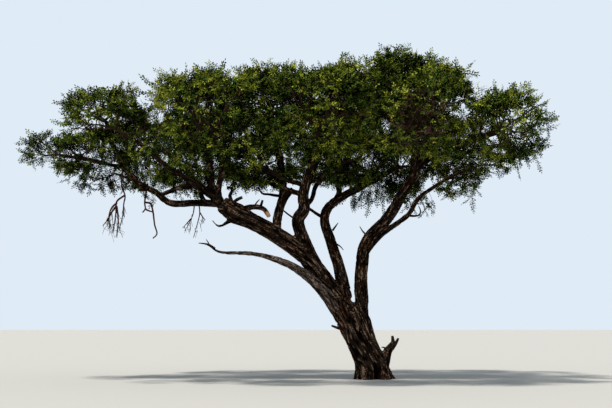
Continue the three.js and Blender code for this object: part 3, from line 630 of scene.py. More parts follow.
def add_noise(tree, scale, detail, stretch=(1, 1, 1)):
    """A noise texture on object coordinates."""
    coordinates = tree.nodes.new("ShaderNodeTexCoord")
    mapping = tree.nodes.new("ShaderNodeMapping")
    mapping.inputs["Scale"].default_value = stretch
    texture = tree.nodes.new("ShaderNodeTexNoise")
    texture.inputs["Scale"].default_value = scale
    texture.inputs["Detail"].default_value = detail
    tree.links.new(coordinates.outputs["Object"], mapping.inputs["Vector"])
    tree.links.new(mapping.outputs["Vector"], texture.inputs["Vector"])
    return texture.outputs["Fac"]


def add_attribute(tree, name):
    """The value that set_values gave the mesh's points."""
    attribute = tree.nodes.new("ShaderNodeAttribute")
    attribute.attribute_name = name
    return attribute.outputs["Fac"]


def add_ramp(tree, fac, stops):
    """Colours at places from 0 to 1."""
    ramp = tree.nodes.new("ShaderNodeValToRGB")
    elements = ramp.color_ramp.elements
    while len(elements) < len(stops):
        elements.new(0.5)
    for element, (place, colour) in zip(elements, stops):
        element.position = place
        element.color = (*colour, 1)
    tree.links.new(fac, ramp.inputs["Fac"])
    return ramp.outputs["Color"]


def add_mix(tree, fac, first, second, way="MIX"):
    """A mix of two colours. Each input is another node's output or a value."""
    mix = tree.nodes.new("ShaderNodeMix")
    mix.data_type = "RGBA"
    mix.blend_type = way
    for name, value in (("Factor", fac), ("A", first), ("B", second)):
        if isinstance(value, bpy.types.NodeSocket):
            tree.links.new(value, mix.inputs[name])
        else:
            mix.inputs[name].default_value = (*value, 1) if isinstance(value, tuple) else value
    return mix.outputs["Result"]


def add_bump(tree, shader, height, strength, distance):
    bump = tree.nodes.new("ShaderNodeBump")
    bump.inputs["Strength"].default_value = strength
    bump.inputs["Distance"].default_value = distance
    tree.links.new(height, bump.inputs["Height"])
    tree.links.new(bump.outputs["Normal"], shader.inputs["Normal"])


def near_point(tree, point, radius):
    """1 near a point, falling to 0 at a radius from it."""
    geometry = tree.nodes.new("ShaderNodeTexCoord")
    distance = tree.nodes.new("ShaderNodeVectorMath")
    distance.operation = "DISTANCE"
    distance.inputs[1].default_value = point
    fade = tree.nodes.new("ShaderNodeMapRange")
    fade.inputs["From Min"].default_value = radius
    fade.inputs["From Max"].default_value = radius * 0.5
    tree.links.new(geometry.outputs["Object"], distance.inputs[0])
    tree.links.new(distance.outputs["Value"], fade.inputs["Value"])
    return fade.outputs["Result"]


def bark_material(name, rust):
    """Bark with painted shade in its grooves and painted highlights on its crests, with patches of rust
    brown.
    """
    material, tree, shader = new_material(name, roughness=0.95, specular=0.03)
    relief = add_attribute(tree, "relief")
    colour = add_ramp(tree, relief, LIVE_TONES)
    colour = add_mix(tree, add_attribute(tree, "bare"), colour, add_ramp(tree, relief, DEAD_TONES))
    patches = add_ramp(tree, add_noise(tree, scale=1.7, detail=5), PATCH_STOPS)
    colour = add_mix(tree, patches, colour, rust, "MULTIPLY")
    grain = add_noise(tree, scale=26, detail=7, stretch=(1, 1, 0.22))
    streaks = add_ramp(tree, grain, STREAK_STOPS)
    colour = add_mix(tree, 1, colour, streaks, "MULTIPLY")
    colour = add_mix(tree, near_point(tree, BROKEN_END, BROKEN_REACH), colour, BROKEN_WOOD)
    tree.links.new(colour, shader.inputs["Base Color"])
    add_bump(tree, shader, grain, strength=0.6, distance=0.012)
    return material


def twig_material(name, tones):
    material, tree, shader = new_material(name, roughness=0.9, specular=0.03)
    colour = add_ramp(tree, add_noise(tree, scale=9, detail=4), tones)
    tree.links.new(colour, shader.inputs["Base Color"])
    add_bump(tree, shader, add_noise(tree, scale=90, detail=3), strength=0.4, distance=0.002)
    return material


def leaf_material(name, colour):
    material, _, shader = new_material(name, roughness=0.75, specular=0.02)
    shader.inputs["Base Color"].default_value = (*colour, 1)
    return material


# Trunk and limbs


def trunk_half_width(share):
    """Half width of the trunk at a share of its height."""
    if share < WAIST_SHARE:
        return TRUNK_WAIST + (TRUNK_FOOT - TRUNK_WAIST) * (1 - share / WAIST_SHARE) ** 2
    if share < SHOULDER_SHARE:
        above = (share - WAIST_SHARE) / (SHOULDER_SHARE - WAIST_SHARE)
        return TRUNK_WAIST + (TRUNK_SHOULDER - TRUNK_WAIST) * above**2
    top = (share - SHOULDER_SHARE) / (1 - SHOULDER_SHARE)
    return TRUNK_SHOULDER + (TRUNK_CROWN - TRUNK_SHOULDER) * top


def cleft_share(angles, heights):
    """The hollow between two root lobes, from 0 outside it to 1 at its deepest."""
    rise = np.clip(1 - heights / CLEFT_HEIGHT, 0.01, 1)
    away = np.abs((angles - CLEFT_TURN + np.pi) % (2 * np.pi) - np.pi)
    return np.minimum(CLEFT_FADE * rise, 1) * np.clip(1 - away / (CLEFT_HALF * rise), 0, 1)


def trunk_tube(line):
    """The trunk with level rings and a flare in lobes, from below the ground to below its fork."""
    shares = np.linspace(0, 1, TRUNK_RINGS)
    knots = np.linspace(0, 1, len(line.points))
    angles = np.linspace(0, 2 * np.pi, TRUNK_SIDES, endpoint=False)
    lobes = 0.5 + 0.5 * np.cos(FLARE_LOBES * (angles - FLARE_TURN))
    rings = []
    for share in [0, *shares]:
        middle = [np.interp(share, knots, axis) for axis in line.points.T]
        lean = 1 + FLARE_LEAN * np.cos(angles)
        flare = FLARE * lean * (FLARE_SKIRT + lobes) * np.exp(-middle[2] / FLARE_HEIGHT)
        half = trunk_half_width(share) + flare - CLEFT_DEPTH * cleft_share(angles, middle[2])
        x = middle[0] + half * np.cos(angles)
        y = middle[1] + half * TRUNK_DEPTH * np.sin(angles)
        rings.append(np.stack([x, y, np.full_like(x, middle[2])], axis=-1))
    rings[0][:, 2] = -BELOW_GROUND
    upright = np.arange(len(rings))[:, None] * UP
    _, faces = tube(upright, np.ones(len(rings)), TRUNK_SIDES, capped=True)
    middles = [ring.mean(axis=0) for ring in (rings[0], rings[-1])]
    return np.vstack([*rings, *middles]), faces


def fused(verts, faces):
    """The parts fused into one even skin."""
    rough = mesh_object("rough", verts, faces, True)
    remesh = rough.modifiers.new("skin", "REMESH")
    remesh.mode = "VOXEL"
    remesh.voxel_size = VOXEL
    remesh.use_smooth_shade = True
    evaluated = rough.evaluated_get(bpy.context.evaluated_depsgraph_get())
    mesh = bpy.data.meshes.new_from_object(evaluated)
    bpy.data.objects.remove(rough)
    return mesh


def vectors_of(mesh, kind):
    """The places, "co", or the normals, "normal", of a mesh's points."""
    flat = np.empty(len(mesh.vertices) * 3, np.float32)
    mesh.vertices.foreach_get(kind, flat)
    return flat.reshape(-1, 3).astype(float)


def set_points(mesh, points):
    mesh.vertices.foreach_set("co", points.astype(np.float32).ravel())
    mesh.update()


def smoothed(mesh, points, times):
    """Points moved halfway to the middle of their neighbours, a few times."""
    flat = np.empty(len(mesh.edges) * 2, np.int32)
    mesh.edges.foreach_get("vertices", flat)
    a, b = flat.reshape(-1, 2).T
    count = np.bincount(a, minlength=len(points)) + np.bincount(b, minlength=len(points))
    for _ in range(times):
        total = np.zeros_like(points)
        for axis in range(3):
            total[:, axis] = np.bincount(a, points[b, axis], len(points))
            total[:, axis] += np.bincount(b, points[a, axis], len(points))
        points = (points + total / count[:, None]) / 2
    return points


def set_values(mesh, name, values):
    """An attribute of the mesh's points, for its material."""
    attribute = mesh.attributes.new(name, "FLOAT", "POINT")
    attribute.data.foreach_set("value", values.astype(np.float32))


def streak_share(points):
    """1 on the streak of dead wood down the trunk, falling to 0 beside it."""
    line = smooth_line(DEAD_STREAK).points
    gaps = np.min([np.linalg.norm(points - place, axis=1) for place in line], axis=0)
    ragged = STREAK_RAGGED * noise_at(points * STREAK_GRAIN)
    return np.clip(STREAK_EDGE - gaps / DEAD_STREAK_HALF + ragged, 0, 1) * STREAK_MOST


def grain_samples(lines):
    """Middles, directions, radii and runs every few centimetres along lines, for reading the grain."""
    rows = []
    for number, (line, radii) in enumerate(lines):
        shares = even_shares(line, SAMPLE_SPACING, 3)
        middles = line.at(shares)
        headings, across, over = side_frames(middles)
        radius = radii_at(radii, shares)[:, None]
        run = shares[:, None] * line.length
        limb = np.full_like(run, number)
        rows.append(np.hstack([middles, headings, across, over, radius, run, limb]))
    return np.vstack(rows)


def surface_gaps(points, samples):
    """Distances from points to the limbs' surfaces at samples, for a batch of points at a time."""
    middles = samples[:, MIDDLE]
    for start in range(0, len(points), BATCH):
        part = points[start : start + BATCH]
        square = (part**2).sum(1)[:, None] + (middles**2).sum(1) - 2 * part @ middles.T
        yield np.sqrt(np.maximum(square, 0)) - samples[:, RADIUS]


def noise_at(points):
    """Smooth noise at points, about -1 to 1."""
    return np.array([noise.noise(p) for p in points.tolist()])


def ridged(points, width):
    """1 along the winding lines where the noise is nil, and 0 away from them."""
    share = 1 - np.minimum(1, np.abs(noise_at(points)) / width)
    return share**2 * (3 - 2 * share)


def grain_relief(points, samples):
    """How far bark stands out at points, in metres, and its shade, from 0 in grooves as painted shade to
    1 on crests as painted highlights.
    """
    near = samples[np.concatenate([gaps.argmin(axis=1) for gaps in surface_gaps(points, samples)])]
    out = points - near[:, MIDDLE]
    radius = near[:, RADIUS]
    run = near[:, RUN] + (out * near[:, ALONG]).sum(1)
    turn = GRAIN_TWIST * run
    u, v = (out * near[:, ACROSS]).sum(1), (out * near[:, OVER]).sum(1)
    u, v = u * np.cos(turn) - v * np.sin(turn), u * np.sin(turn) + v * np.cos(turn)
    width = np.clip(PLATE_WIDTH * radius, *PLATE_RANGE)
    limb = near[:, LIMB] * LIMB_STEP
    place = np.stack([u / width, v / width, run / (width * GRAIN_STRETCH) + limb], axis=1)
    wander = WANDER * noise_at(place * WANDER_GRAIN + WANDER_SHIFT)
    place[:, 0] += wander
    place[:, 1] -= wander
    groove = ridged(place, GROOVE_WIDTH)
    crest = ridged(place + CREST_SHIFT, CREST_WIDTH) * (1 - groove)
    plates = noise_at(place * PLATE_GRAIN + PLATE_SHIFT)
    coarse = np.stack([u / radius, v / radius, run / (radius * FLUTE_STRETCH) + limb], axis=1)
    flutes = noise_at(coarse * FLUTE_GRAIN)
    depth = np.minimum(GROOVE_LEAST + GROOVE_GROWTH * radius, GROOVE_MOST)
    height = depth * (PLATE_HEIGHT * plates + CREST_HEIGHT * crest - groove)
    height += FLUTE_DEPTH * radius * flutes
    # Painted shade in the grooves and painted highlights on the crests, over plates that vary at random
    shade = FLAT_SHADE + PLATE_SHADE * plates * (1 - groove) + CREST_HIGHLIGHT_GROOVE_SHADE * crest - CREST_HIGHLIGHT_GROOVE_SHADE * groove
    return height, np.clip(shade, 0, 1)


def cut_at_ground(mesh):
    """Cuts the mesh level with the ground and closes it with a flat face."""
    work = bmesh.new()
    work.from_mesh(mesh)
    everything = work.verts[:] + work.edges[:] + work.faces[:]
    plane = {"plane_co": (0, 0, 0), "plane_no": (0, 0, 1)}
    cut = bmesh.ops.bisect_plane(work, geom=everything, clear_inner=True, **plane)
    rim = [e for e in cut["geom_cut"] if isinstance(e, bmesh.types.BMEdge)]
    bmesh.ops.holes_fill(work, edges=rim)
    work.to_mesh(mesh)
    work.free()


def bark_skin(name, parts, lines, grounded=False):
    """Parts fused into one skin with the relief of bark along lines."""
    mesh = fused(*join(parts))
    mesh.name = name
    points = smoothed(mesh, vectors_of(mesh, "co"), SMOOTH_UNION)
    set_points(mesh, points)
    height, shade = grain_relief(points, grain_samples(lines))
    if grounded:
        # Painted shade: the hollow between the root lobes is darker
        shade *= 1 - cleft_share(np.arctan2(points[:, 1] / TRUNK_DEPTH, points[:, 0]), points[:, 2])
    points = points + vectors_of(mesh, "normal") * height[:, None]
    set_points(mesh, smoothed(mesh, points, SMOOTH_RELIEF))
    set_values(mesh, "relief", shade)
    if grounded:
        set_values(mesh, "bare", streak_share(points))
        cut_at_ground(mesh)
    else:
        set_values(mesh, "bare", np.ones(len(points)))
    return linked(name, mesh)


def limb_tube(line, radii, sides=LIMB_SIDES, spacing=LIMB_SPACING):
    shares = even_shares(line, spacing, 4)
    return tube(line.at(shares), radii_at(radii, shares), sides, capped=True)


def knotty_tube(line, radii, number):
    """A thin limb with lumps of its own."""
    verts, faces = limb_tube(line, radii, THIN_SIDES, THIN_SPACING)
    places = line.at(even_shares(line, THIN_SPACING, 4))
    middles = np.vstack([np.repeat(places, THIN_SIDES, axis=0), places[0], places[-1]])
    lumps = noise_at(verts * LUMP_GRAIN + number * LUMP_STEP)
    return middles + (verts - middles) * (1 + LUMP_HEIGHT * lumps)[:, None], faces


# Crown


def reach_along(ways, half):
    """How far a space with these half sizes reaches in each direction, before any cut."""
    return (np.abs(ways / half) ** SPACE_POWER).sum(axis=-1) ** (-1 / SPACE_POWER)


class Space:
    """The space of a mass: a rounded box, cut by a plane towards each neighbour."""

    def __init__(self, name):
        self.centre = np.array(MASSES[name][0], float)
        self.reach = np.array(MASSES[name][1], float)
        ways, limits = [np.zeros(3)], [1.0]
        for other, (centre, reach, *_) in MASSES.items():
            if other == name:
                continue
            step = np.array(centre) - self.centre
            distance = np.linalg.norm(step)
            way = step / distance
            mine, theirs = reach_along(way, self.reach), reach_along(way, np.array(reach))
            if distance < mine + theirs:
                ways.append(way)
                limits.append(distance * mine / (mine + theirs) + MASS_OVERLAP / 2)
        self.ways, self.limits = np.array(ways), np.array(limits)

    def skin(self, ways):
        """Distance from the centre to the skin of the space in each direction."""
        cosines = ways @ self.ways.T
        cuts = np.where(cosines > FACING, self.limits / np.maximum(cosines, FACING), np.inf)
        return np.minimum(reach_along(ways, self.reach), cuts.min(axis=1))

    def depth(self, points):
        """How far out points stand, from 0 at the centre to 1 on the skin."""
        steps = points - self.centre
        distances = np.linalg.norm(steps, axis=1)
        return distances / self.skin(steps / np.maximum(distances, 1e-9)[:, None])

    def edge(self, points):
        """How far out shoots may end at points, where notches cut into the crown's skin."""
        return 1 - NOTCH_DEPTH * np.clip(NOTCH_STEEPNESS * noise_at(points / NOTCH_SIZE), 0, 1)

    def tuft_count(self):
        x, y, z = self.reach
        fullness = UPPER_FULLNESS if self.centre[2] > UPPER_HEIGHT else 1
        return round(2 * (x * y + y * z + z * x) / TUFT_AREA * fullness)


def spread_directions(count, pole, rng):
    """Directions spread evenly over a sphere by the golden angle, from the pole onwards."""
    i = np.arange(count)
    up = 1 - 2 * i / count
    level = np.sqrt(1 - up**2)
    angle = i * math.pi * (3 - math.sqrt(5)) + rng.random() * 2 * math.pi
    ways = np.stack([level * np.cos(angle), level * np.sin(angle), up], axis=1)
    turn = Vector((0, 0, 1)).rotation_difference(Vector(pole)).to_matrix()
    return ways @ np.array(turn).T


def outward_at(point):
    """The outward side of the crown at a point."""
    return unit((point - CROWN_CENTRE) / CROWN_REACH**2)


def fork_twigs(path, goals, radius_for, rng, finish):
    """The forking rule: a twig runs towards the middle of its goals, then the goals are parted across
    their widest side. The half that lies straighter ahead keeps the twig, and the other half gets a
    new one. finish(path, goal) takes what is left when a twig has one goal."""
    if len(goals) == 1:
        finish(path, goals[0])
        return
    here = path[-1][0]
    fork = here + FORK_SHARE * (goals.mean(axis=0) - here)
    path.append((fork, radius_for(len(goals))))
    widest = np.argmax(np.ptp(goals, axis=0))
    ordered = goals[np.argsort(goals[:, widest], kind="stable")]
    share = SPLIT_LEAST + SPLIT_RANGE * rng.random()
    half = min(max(round(len(goals) * share), 1), len(goals) - 1)
    heading = unit(fork - here)
    groups = [ordered[:half], ordered[half:]]
    groups.sort(key=lambda group: -np.mean(unit(group - fork) @ heading))
    fork_twigs(path, groups[0], radius_for, rng, finish)
    foot = [(fork, radius_for(len(groups[1])) * FOOT_RADIUS)]
    fork_twigs(foot, groups[1], radius_for, rng, finish)


def shoot_radius(count):
    """Radius of a twig that carries so many shoots."""
    return TIP_RADIUS * count**STEM_POWER


class Crown:
    """Collects the twigs and sprays of every mass."""

    def __init__(self):
        self.twigs = []
        self.sprays = []

    def grow_mass(self, name, bough, tip_radius, seed):
        """Forks a stem from the bough's tip to tufts near the skin, and to some that stand deeper."""
        rng = np.random.default_rng(seed)
        space = Space(name)
        ways = spread_directions(space.tuft_count(), outward_at(space.centre), rng)
        skins = space.skin(ways)
        outer = skins > UNCUT * reach_along(ways, space.reach)
        kept = outer | (rng.random(len(ways)) < TOWARDS_NEIGHBOUR)
        places = space.centre[0] + ways[:, 0] * skins
        kept &= rng.random(len(ways)) < np.interp(places, RIM_PLACES, RIM_SHARES)
        ways, skins = ways[kept], skins[kept]
        below = TUFT_REACH * rng.uniform(*TUFT_DEPTHS, len(ways))
        depths = np.maximum(skins - below, skins * TUFT_LEAST)
        inner = rng.random(len(ways)) < INNER_TUFTS
        depths[inner] = np.minimum(depths[inner], skins[inner] * INNER_DEPTH)
        goals = space.centre + ways * depths[:, None]

        def finish(path, goal):
            self.grow_tuft(path, goal, space, rng)

        foot, heading = bough.at(1.0), bough.heading(1.0)
        stem = foot + heading * tip_radius * STEM_RUN
        path = [(foot, tip_radius * 0.9), (stem, shoot_radius(len(goals) * SHOOTS))]
        fork_twigs(path, goals, lambda count: shoot_radius(count * SHOOTS), rng, finish)

    def grow_tuft(self, path, middle, space, rng):
        """Forks a tuft's twig to shoots that end round its middle, inside the space."""
        out = unit(middle - space.centre)
        rise = SHOOT_RISE if out[2] > UNDERSIDE else -SHOOT_DROOP
        pole = unit(out + SHOOT_ONWARD * unit(middle - path[-1][0]) + rise * UP)
        ways = spread_directions(round(SHOOTS * ALL_ROUND), pole, rng)[:SHOOTS]
        ways = unit(ways + SHOOT_LEAN * pole)
        reach = TUFT_REACH * rng.uniform(SHOOT_LEAST, 1.0, SHOOTS)
        reach[:LEADERS] *= rng.uniform(1.0, LEADER_REACH, LEADERS)
        ends = middle + ways * reach[:, None]
        ends = ends[space.depth(ends) < space.edge(ends)]
        if len(ends) == 0:
            return
        patch = 0.5 + noise.noise((middle / PATCH_SIZE).tolist())

        def finish(path, goal):
            self.add_shoot(path, goal, space.depth, rng, patch)

        fork_twigs(path, ends, shoot_radius, rng, finish)

    def add_shoot(self, path, end, depth_at, rng, patch):
        """The last, leafy run of a twig, which hangs a little and turns up at its end."""
        start = path[-1][0]
        step = end - start
        length = np.linalg.norm(step)
        bow = -SHOOT_SAG * length * UP + rng.normal(0, SHOOT_WAVER, 3) * length
        path.append((start + step * SHOOT_BEND + bow, shoot_radius(1)))
        path.append((end, shoot_radius(1) * TIP_TAPER))
        self.twigs.append(path)
        line = Line([point for point, _ in path[-5:]])
        reach = min(LEAFY_LENGTH * rng.uniform(*LEAFY_RANGE), line.length * 0.95)
        count = int(reach / SPRAY_SPACING) + 1
        shares = 1 - np.arange(count) * SPRAY_SPACING / line.length
        flat = unit(UP + rng.normal(0, FLAT_SCATTER, 3))
        sides = np.where(np.arange(count) % 2, 1.0, -1.0)
        sides[0] = 0
        roots, headings = line.at(shares), line.heading(shares)
        ends = roots + headings * SPRAY_LENGTH * 0.6
        depths = depth_at(ends)
        heights = (roots[:, 2] - CROWN_CENTRE[2]) / CROWN_REACH[2]
        # Painted shade and light: sprays deeper in their mass and lower in the crown get darker tints,
        # outer and higher ones lighter
        tints = PAINTED_SHADE_BY_DEPTH * depths + PAINTED_LIGHT_BY_HEIGHT * heights + PATCH_TINT * patch
        tints += CHANCE_TINT * rng.random(count)
        bare = np.linalg.norm((ends - BARE_CENTRE) / BARE_REACH, axis=1) < 1
        dry = rng.random(count) < np.where(bare, BARE_DRY, DRY_INSIDE * (depths < DRY_DEPTH))
        rows = np.hstack([
            roots,
            headings,
            np.tile(flat, (count, 1)),
            sides[:, None],
            tints[:, None],
            rng.normal(0, 1, (count, 4)),
            dry[:, None],
            inner_size(depths, roots[:, 2])[:, None],
        ])
        missing = np.where(in_sky_gap(roots), GAP_SHARE, BARE_SHARE * bare)
        kept = (depths < 1) & (rng.random(count) >= missing)
        self.sprays.append(rows[kept])

    def add_sprig(self, starts, foot, tip, rng):
        """A leafy sprig from the nearest of some starts by its foot to its tip."""
        nearest = starts[np.argmin(np.linalg.norm(starts - foot, axis=1))]
        path = [(nearest, shoot_radius(3)), (np.array(foot), shoot_radius(2))]
        self.add_shoot(path, np.array(tip), lambda points: np.full(len(points), SPRIG_DEPTH), rng, 0.5)

    def add_sprigs(self, lines):
        """Sprigs that start at twigs, fringes that start at limbs, and rows that start at either."""
        rng = np.random.default_rng(len(SPRIGS))
        ends = np.array([path[-1][0] for path in self.twigs])
        for foot, tip in SPRIGS:
            self.add_sprig(ends, foot, tip, rng)
        for name, (first, last, count, fall) in FRINGES.items():
            for foot in points_between(first, last, count):
                foot += rng.normal(0, FRINGE_SPREAD, 3) * FLATTER
                aside = rng.normal(0, TIP_SPREAD, 3) * FLATTER
                tip = foot + aside - fall * rng.uniform(*FALL_RANGE) * UP
                self.add_sprig(lines[name].points, foot, tip, rng)
        starts = np.vstack([ends] + [line.points for line in lines.values()])
        for first, last, count, run in CLOSING_ROWS:
            for foot in points_between(first, last, count):
                foot += rng.normal(0, CLOSING_SPREAD, 3)
                self.add_sprig(starts, foot, foot + run + rng.normal(0, CLOSING_SPREAD, 3), rng)


def inner_size(depths, heights):
    """How much larger than the others sprays are, by how far out they stand and their height."""
    inside = np.clip((INNER_FROM - depths) / (INNER_FROM - INNER_TO), 0, 1)
    return 1 + INNER_GROWTH * inside * np.interp(heights, INNER_HEIGHTS, [0, 1])


def in_sky_gap(points):
    """Whether points lie where the sky shows through, on the lines of sight through a gap."""
    eye = np.array(CAMERA_PLACE)
    on_plane = eye + (points - eye) * (-eye[1] / (points[:, 1:2] - eye[1]))
    found = np.zeros(len(points), bool)
    places = on_plane[:, ::2]  # across and height
    for middle, half in SKY_GAPS:
        found |= np.hypot(*((places - middle) / half).T) < 1
    return found


def inside_box(rows):
    """The sprays that don't stand out of the box of the solids."""
    low, high = np.array(cad_box)
    margin = BOX_MARGIN * (high - low)
    root = rows[:, ROOT]
    return rows[((root > low - margin) & (root < high + margin)).all(axis=1)]


def clear_of_limbs(rows, limbs):
    """The sprays that don't touch limbs or boughs."""
    batches = surface_gaps(rows[:, ROOT], grain_samples(limbs)[::2])
    return rows[np.concatenate([gaps.min(axis=1) > LIMB_CLEARANCE for gaps in batches])]


def spray_template():
    """The corners of a spray's leaflets: along it, across it and out of its plane."""
    corners = []
    for foot, turn, length in PINNAE:
        way = np.array([math.cos(turn), math.sin(turn), 0])
        side = np.array([-way[1], way[0], 0]) * length * PINNA_WIDTH / 2
        root = np.array([foot, 0, 0])
        belly = root + way * length * 0.5 + UP * PINNA_ARCH
        tip = root + way * length - UP * PINNA_DROOP
        corners += [root, belly + side, tip, belly - side]
    return np.array(corners)


def spray_corners(rows):
    """The corners of sprays, from the rows that shoots give."""
    root, heading, flat = rows[:, ROOT], rows[:, HEADING], rows[:, FLAT]
    side, chance = rows[:, SIDE, None], rows[:, CHANCE]
    across = unit(np.cross(flat, heading))
    turn = (SPRAY_TURN + TURN_SCATTER * chance[:, :1]) * side
    rise = RISE_SCATTER * chance[:, 1:2]
    way = unit(heading * np.cos(turn) + across * np.sin(turn) + rise * flat)
    normal = unit(np.cross(way, across + SPRAY_TILT * chance[:, 2:3] * flat))
    normal = np.where(np.abs(side) > 0, unit(flat - way * (flat * way).sum(1, keepdims=True)), normal)
    beside = unit(np.cross(normal, way))
    normal = unit(normal + SPRAY_TILT * chance[:, 2:3] * beside)
    beside = np.cross(normal, way)
    size = SPRAY_LENGTH * rows[:, SIZE, None] * np.clip(1 + SIZE_SCATTER * chance[:, 3:4], *SIZE_RANGE)
    basis = np.stack([way, beside, normal], axis=1) * size[:, :, None]
    return root[:, None] + spray_template() @ basis


def dealt_out(rows, chosen, tints):
    """The chosen rows, from the darkest tint on, dealt out to tints by their shares."""
    order = chosen[np.argsort(rows[chosen, TINT], kind="stable")]
    bounds = np.cumsum([share for _, share in tints.values()])
    cuts = np.round(bounds * len(order)).astype(int)
    return dict(zip(tints, np.split(order, cuts[:-1])))


def add_leaves(rows, nodes):
    """Sprays joined by tint, into pieces of a limited size."""
    is_dry = rows[:, DRY] > 0
    shares = dealt_out(rows, np.flatnonzero(~is_dry), TINTS)
    shares |= dealt_out(rows, np.flatnonzero(is_dry), DRY_TINTS)
    colours = TINTS | DRY_TINTS
    most = MOST_TRIANGLES // (2 * len(PINNAE))
    for tint, chosen in shares.items():
        material = leaf_material(f"leaf_{tint}", colours[tint][0])
        parts = math.ceil(len(chosen) / most)
        for i, part in enumerate(np.array_split(chosen, parts)):
            corners = spray_corners(rows[part]).reshape(-1, 3)
            faces = np.arange(len(corners)).reshape(-1, 4)
            piece = mesh_object(f"leaves_{tint}_{i + 1}", corners, faces, False)
            add_piece(piece, material, nodes)


def twig_tube(path):
    radii = np.array([radius for _, radius in path])
    sides = 3 if radii.max() < FINE_RADIUS else 5
    return tube([point for point, _ in path], radii, sides)


def add_twigs(name, paths, material, nodes):
    """Twigs joined into pieces of a limited size."""
    tubes = [twig_tube(path) for path in paths]
    counts = np.cumsum([2 * len(faces) for _, faces in tubes])
    parts = counts // MOST_TRIANGLES
    for i in range(parts[-1] + 1):
        verts, faces = join([t for t, part in zip(tubes, parts) if part == i])
        add_piece(mesh_object(f"{name}_{i + 1}", verts, faces, True), material, nodes)


def bough_line(host, at, space):
    """A bough leaves along its host and turns to its mass's centre."""
    foot = host.at(at)
    inward = unit(space.centre - foot)
    entry = space.centre - inward * BOUGH_ENTRY * space.skin(-inward[None])[0]
    bend = np.linalg.norm(entry - foot) * BOUGH_BEND
    return bezier_line(foot, foot + host.heading(at) * bend, entry - inward * bend, entry)


def hanging_paths(stems, radii, side_twigs, seed):
    """Dead twigs that hang: crooked stems, and thin side twigs that fall from them."""
    rng = np.random.default_rng(seed)
    paths = []
    for points in stems:
        stem = smooth_line(points, 5)
        shares = stem.along / stem.length
        paths.append(list(zip(stem.points, np.interp(shares, [0, 1], radii))))
        for _ in range(side_twigs):
            foot = stem.at(rng.uniform(*SIDE_TWIG_FEET))
            aside = rng.normal(0, 0.3, 3) - UP
            length = rng.uniform(*SIDE_TWIG_LENGTHS)
            middle = foot + length * (0.5 * unit(aside + rng.normal(0, 0.4, 3)))
            end = foot + length * unit(aside)
            fork = middle + 0.4 * length * unit(rng.normal(0, 0.5, 3) - UP)
            for twig in ([(foot, 1), (middle, 0.8), (end, 0.5)], [(middle, 0.7), (fork, 0.4)]):
                paths.append([(point, SIDE_TWIG_RADIUS * share) for point, share in twig])
    return paths


def limbs_from(table):
    """The smooth middle line and the radii of each limb in a table."""
    return {name: (smooth_line(path), radii) for name, (radii, path) in table.items()}


def add_limbs(wood, bark, dead_bark):
    """The trunk and the live limbs in one skin, and the dead limb in another."""
    trunk = smooth_line(TRUNK_PATH)
    live = [name for name in LIMBS if name != DEAD]
    limbs = [wood[name] for name in live]
    parts = [trunk_tube(trunk)] + [limb_tube(*limb) for limb in limbs]
    skin = bark_skin("trunk_and_limbs", parts, [(trunk, TRUNK_RADII), *limbs], grounded=True)
    add_piece(skin, bark, ["trunk", *live])
    dead_skin = bark_skin("dead_limb_skin", [limb_tube(*wood[DEAD])], [wood[DEAD]])
    add_piece(dead_skin, dead_bark, [DEAD])


def carriers_of_masses(wood):
    """The name of the limb or bough that carries each mass. Adds the boughs to the wood."""
    carriers = {}
    for mass, (_, _, host, *bough) in MASSES.items():
        carriers[mass] = "bough_" + mass if bough else host
        if bough:
            at, radii = bough
            wood[carriers[mass]] = (bough_line(wood[host][0], at, Space(mass)), radii)
    return carriers


def add_boughs(wood, boughs, spurs, bark):
    """Boughs and spurs in one piece, which keep their own tubes."""
    thin = [wood[name] for name in boughs] + list(spurs.values())
    verts, faces = join([knotty_tube(*limb, number) for number, limb in enumerate(thin)])
    piece = mesh_object("boughs_and_spurs", verts, faces, True)
    shade = grain_relief(verts, grain_samples(thin))[1]
    # Painted shade: boughs and spurs, which stand inside the crown, are darker than the limbs
    set_values(piece.data, "relief", shade * BOUGH_PAINTED_SHADE)
    add_piece(piece, bark, boughs)


def add_crown(wood, carriers, spurs, twig_bark):
    """Twigs and sprays, grown from the tips of the limbs and boughs that carry the masses."""
    crown = Crown()
    for seed, (mass, carrier) in enumerate(carriers.items()):
        line, radii = wood[carrier]
        crown.grow_mass(mass, line, radii[-1], seed + 1)
    crown.add_sprigs({name: line for name, (line, _) in (wood | spurs).items()})
    masses = ["leaves_" + mass for mass in MASSES]
    add_twigs("twigs", crown.twigs, twig_bark, masses)
    add_leaves(clear_of_limbs(inside_box(np.vstack(crown.sprays)), list(wood.values())), masses)


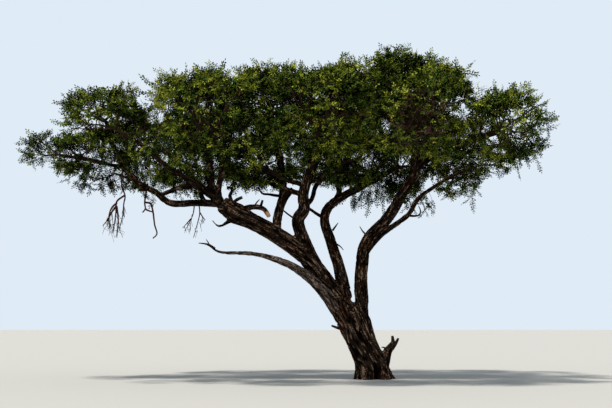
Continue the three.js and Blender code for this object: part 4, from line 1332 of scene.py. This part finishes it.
def add_hanging_twigs(dead_twig):
    for seed, (name, (stems, radii, side_twigs)) in enumerate(HANGING.items()):
        paths = hanging_paths(stems, radii, side_twigs, seed + 1)
        add_twigs(name + "_fine", paths, dead_twig, [name])


def build_tree():
    bark = bark_material("bark", RUST)
    dead_bark = bark_material("dead_bark", DEAD_RUST)
    twig_bark = twig_material("twig_bark", TWIG_TONES)
    dead_twig = twig_material("dead_twig", DEAD_TWIG_TONES)
    wood, spurs = limbs_from(LIMBS), limbs_from(SPURS)
    add_limbs(wood, bark, dead_bark)
    carriers = carriers_of_masses(wood)
    add_boughs(wood, [name for name in wood if name not in LIMBS], spurs, bark)
    add_crown(wood, carriers, spurs, twig_bark)
    add_hanging_twigs(dead_twig)


# Stage


def add_floor():
    corners = np.array([(-1, -1, 0), (1, -1, 0), (1, 1, 0), (-1, 1, 0)], float) * FLOOR_HALF
    floor = mesh_object("floor", corners, np.array([[0, 1, 2, 3]]), False)
    material, _, shader = new_material("floor", roughness=0.9, specular=0.1)
    shader.inputs["Base Color"].default_value = FLOOR_COLOUR
    floor.data.materials.append(material)


def add_lights():
    world = bpy.data.worlds.new("studio")
    bpy.context.scene.world = world
    world.use_nodes = True
    background = world.node_tree.nodes["Background"]
    background.inputs["Color"].default_value = SKY_COLOUR
    background.inputs["Strength"].default_value = 1.0
    sun = bpy.data.lights.new("key", "SUN")
    sun.energy = SUN_STRENGTH
    sun.angle = math.radians(SUN_WIDTH)
    sun.color = SUN_COLOUR
    linked("key", sun).rotation_euler = Vector(SUN_FROM).to_track_quat("Z", "Y").to_euler()


def add_camera():
    data = bpy.data.cameras.new("camera")
    data.sensor_width = SENSOR_WIDTH
    data.lens = SENSOR_WIDTH * FOCAL_PIXELS / PICTURE_WIDTH
    data.clip_end = 4000
    camera = linked("camera", data)
    camera.location = CAMERA_PLACE
    rise = math.atan((HORIZON_ROW - PICTURE_HEIGHT / 2) / FOCAL_PIXELS)
    camera.rotation_euler = (math.pi / 2 + rise, 0, 0)
    bpy.context.scene.camera = camera


add_camera()
add_floor()
add_lights()
build_tree()
bpy.context.scene.view_settings.view_transform = "Standard"
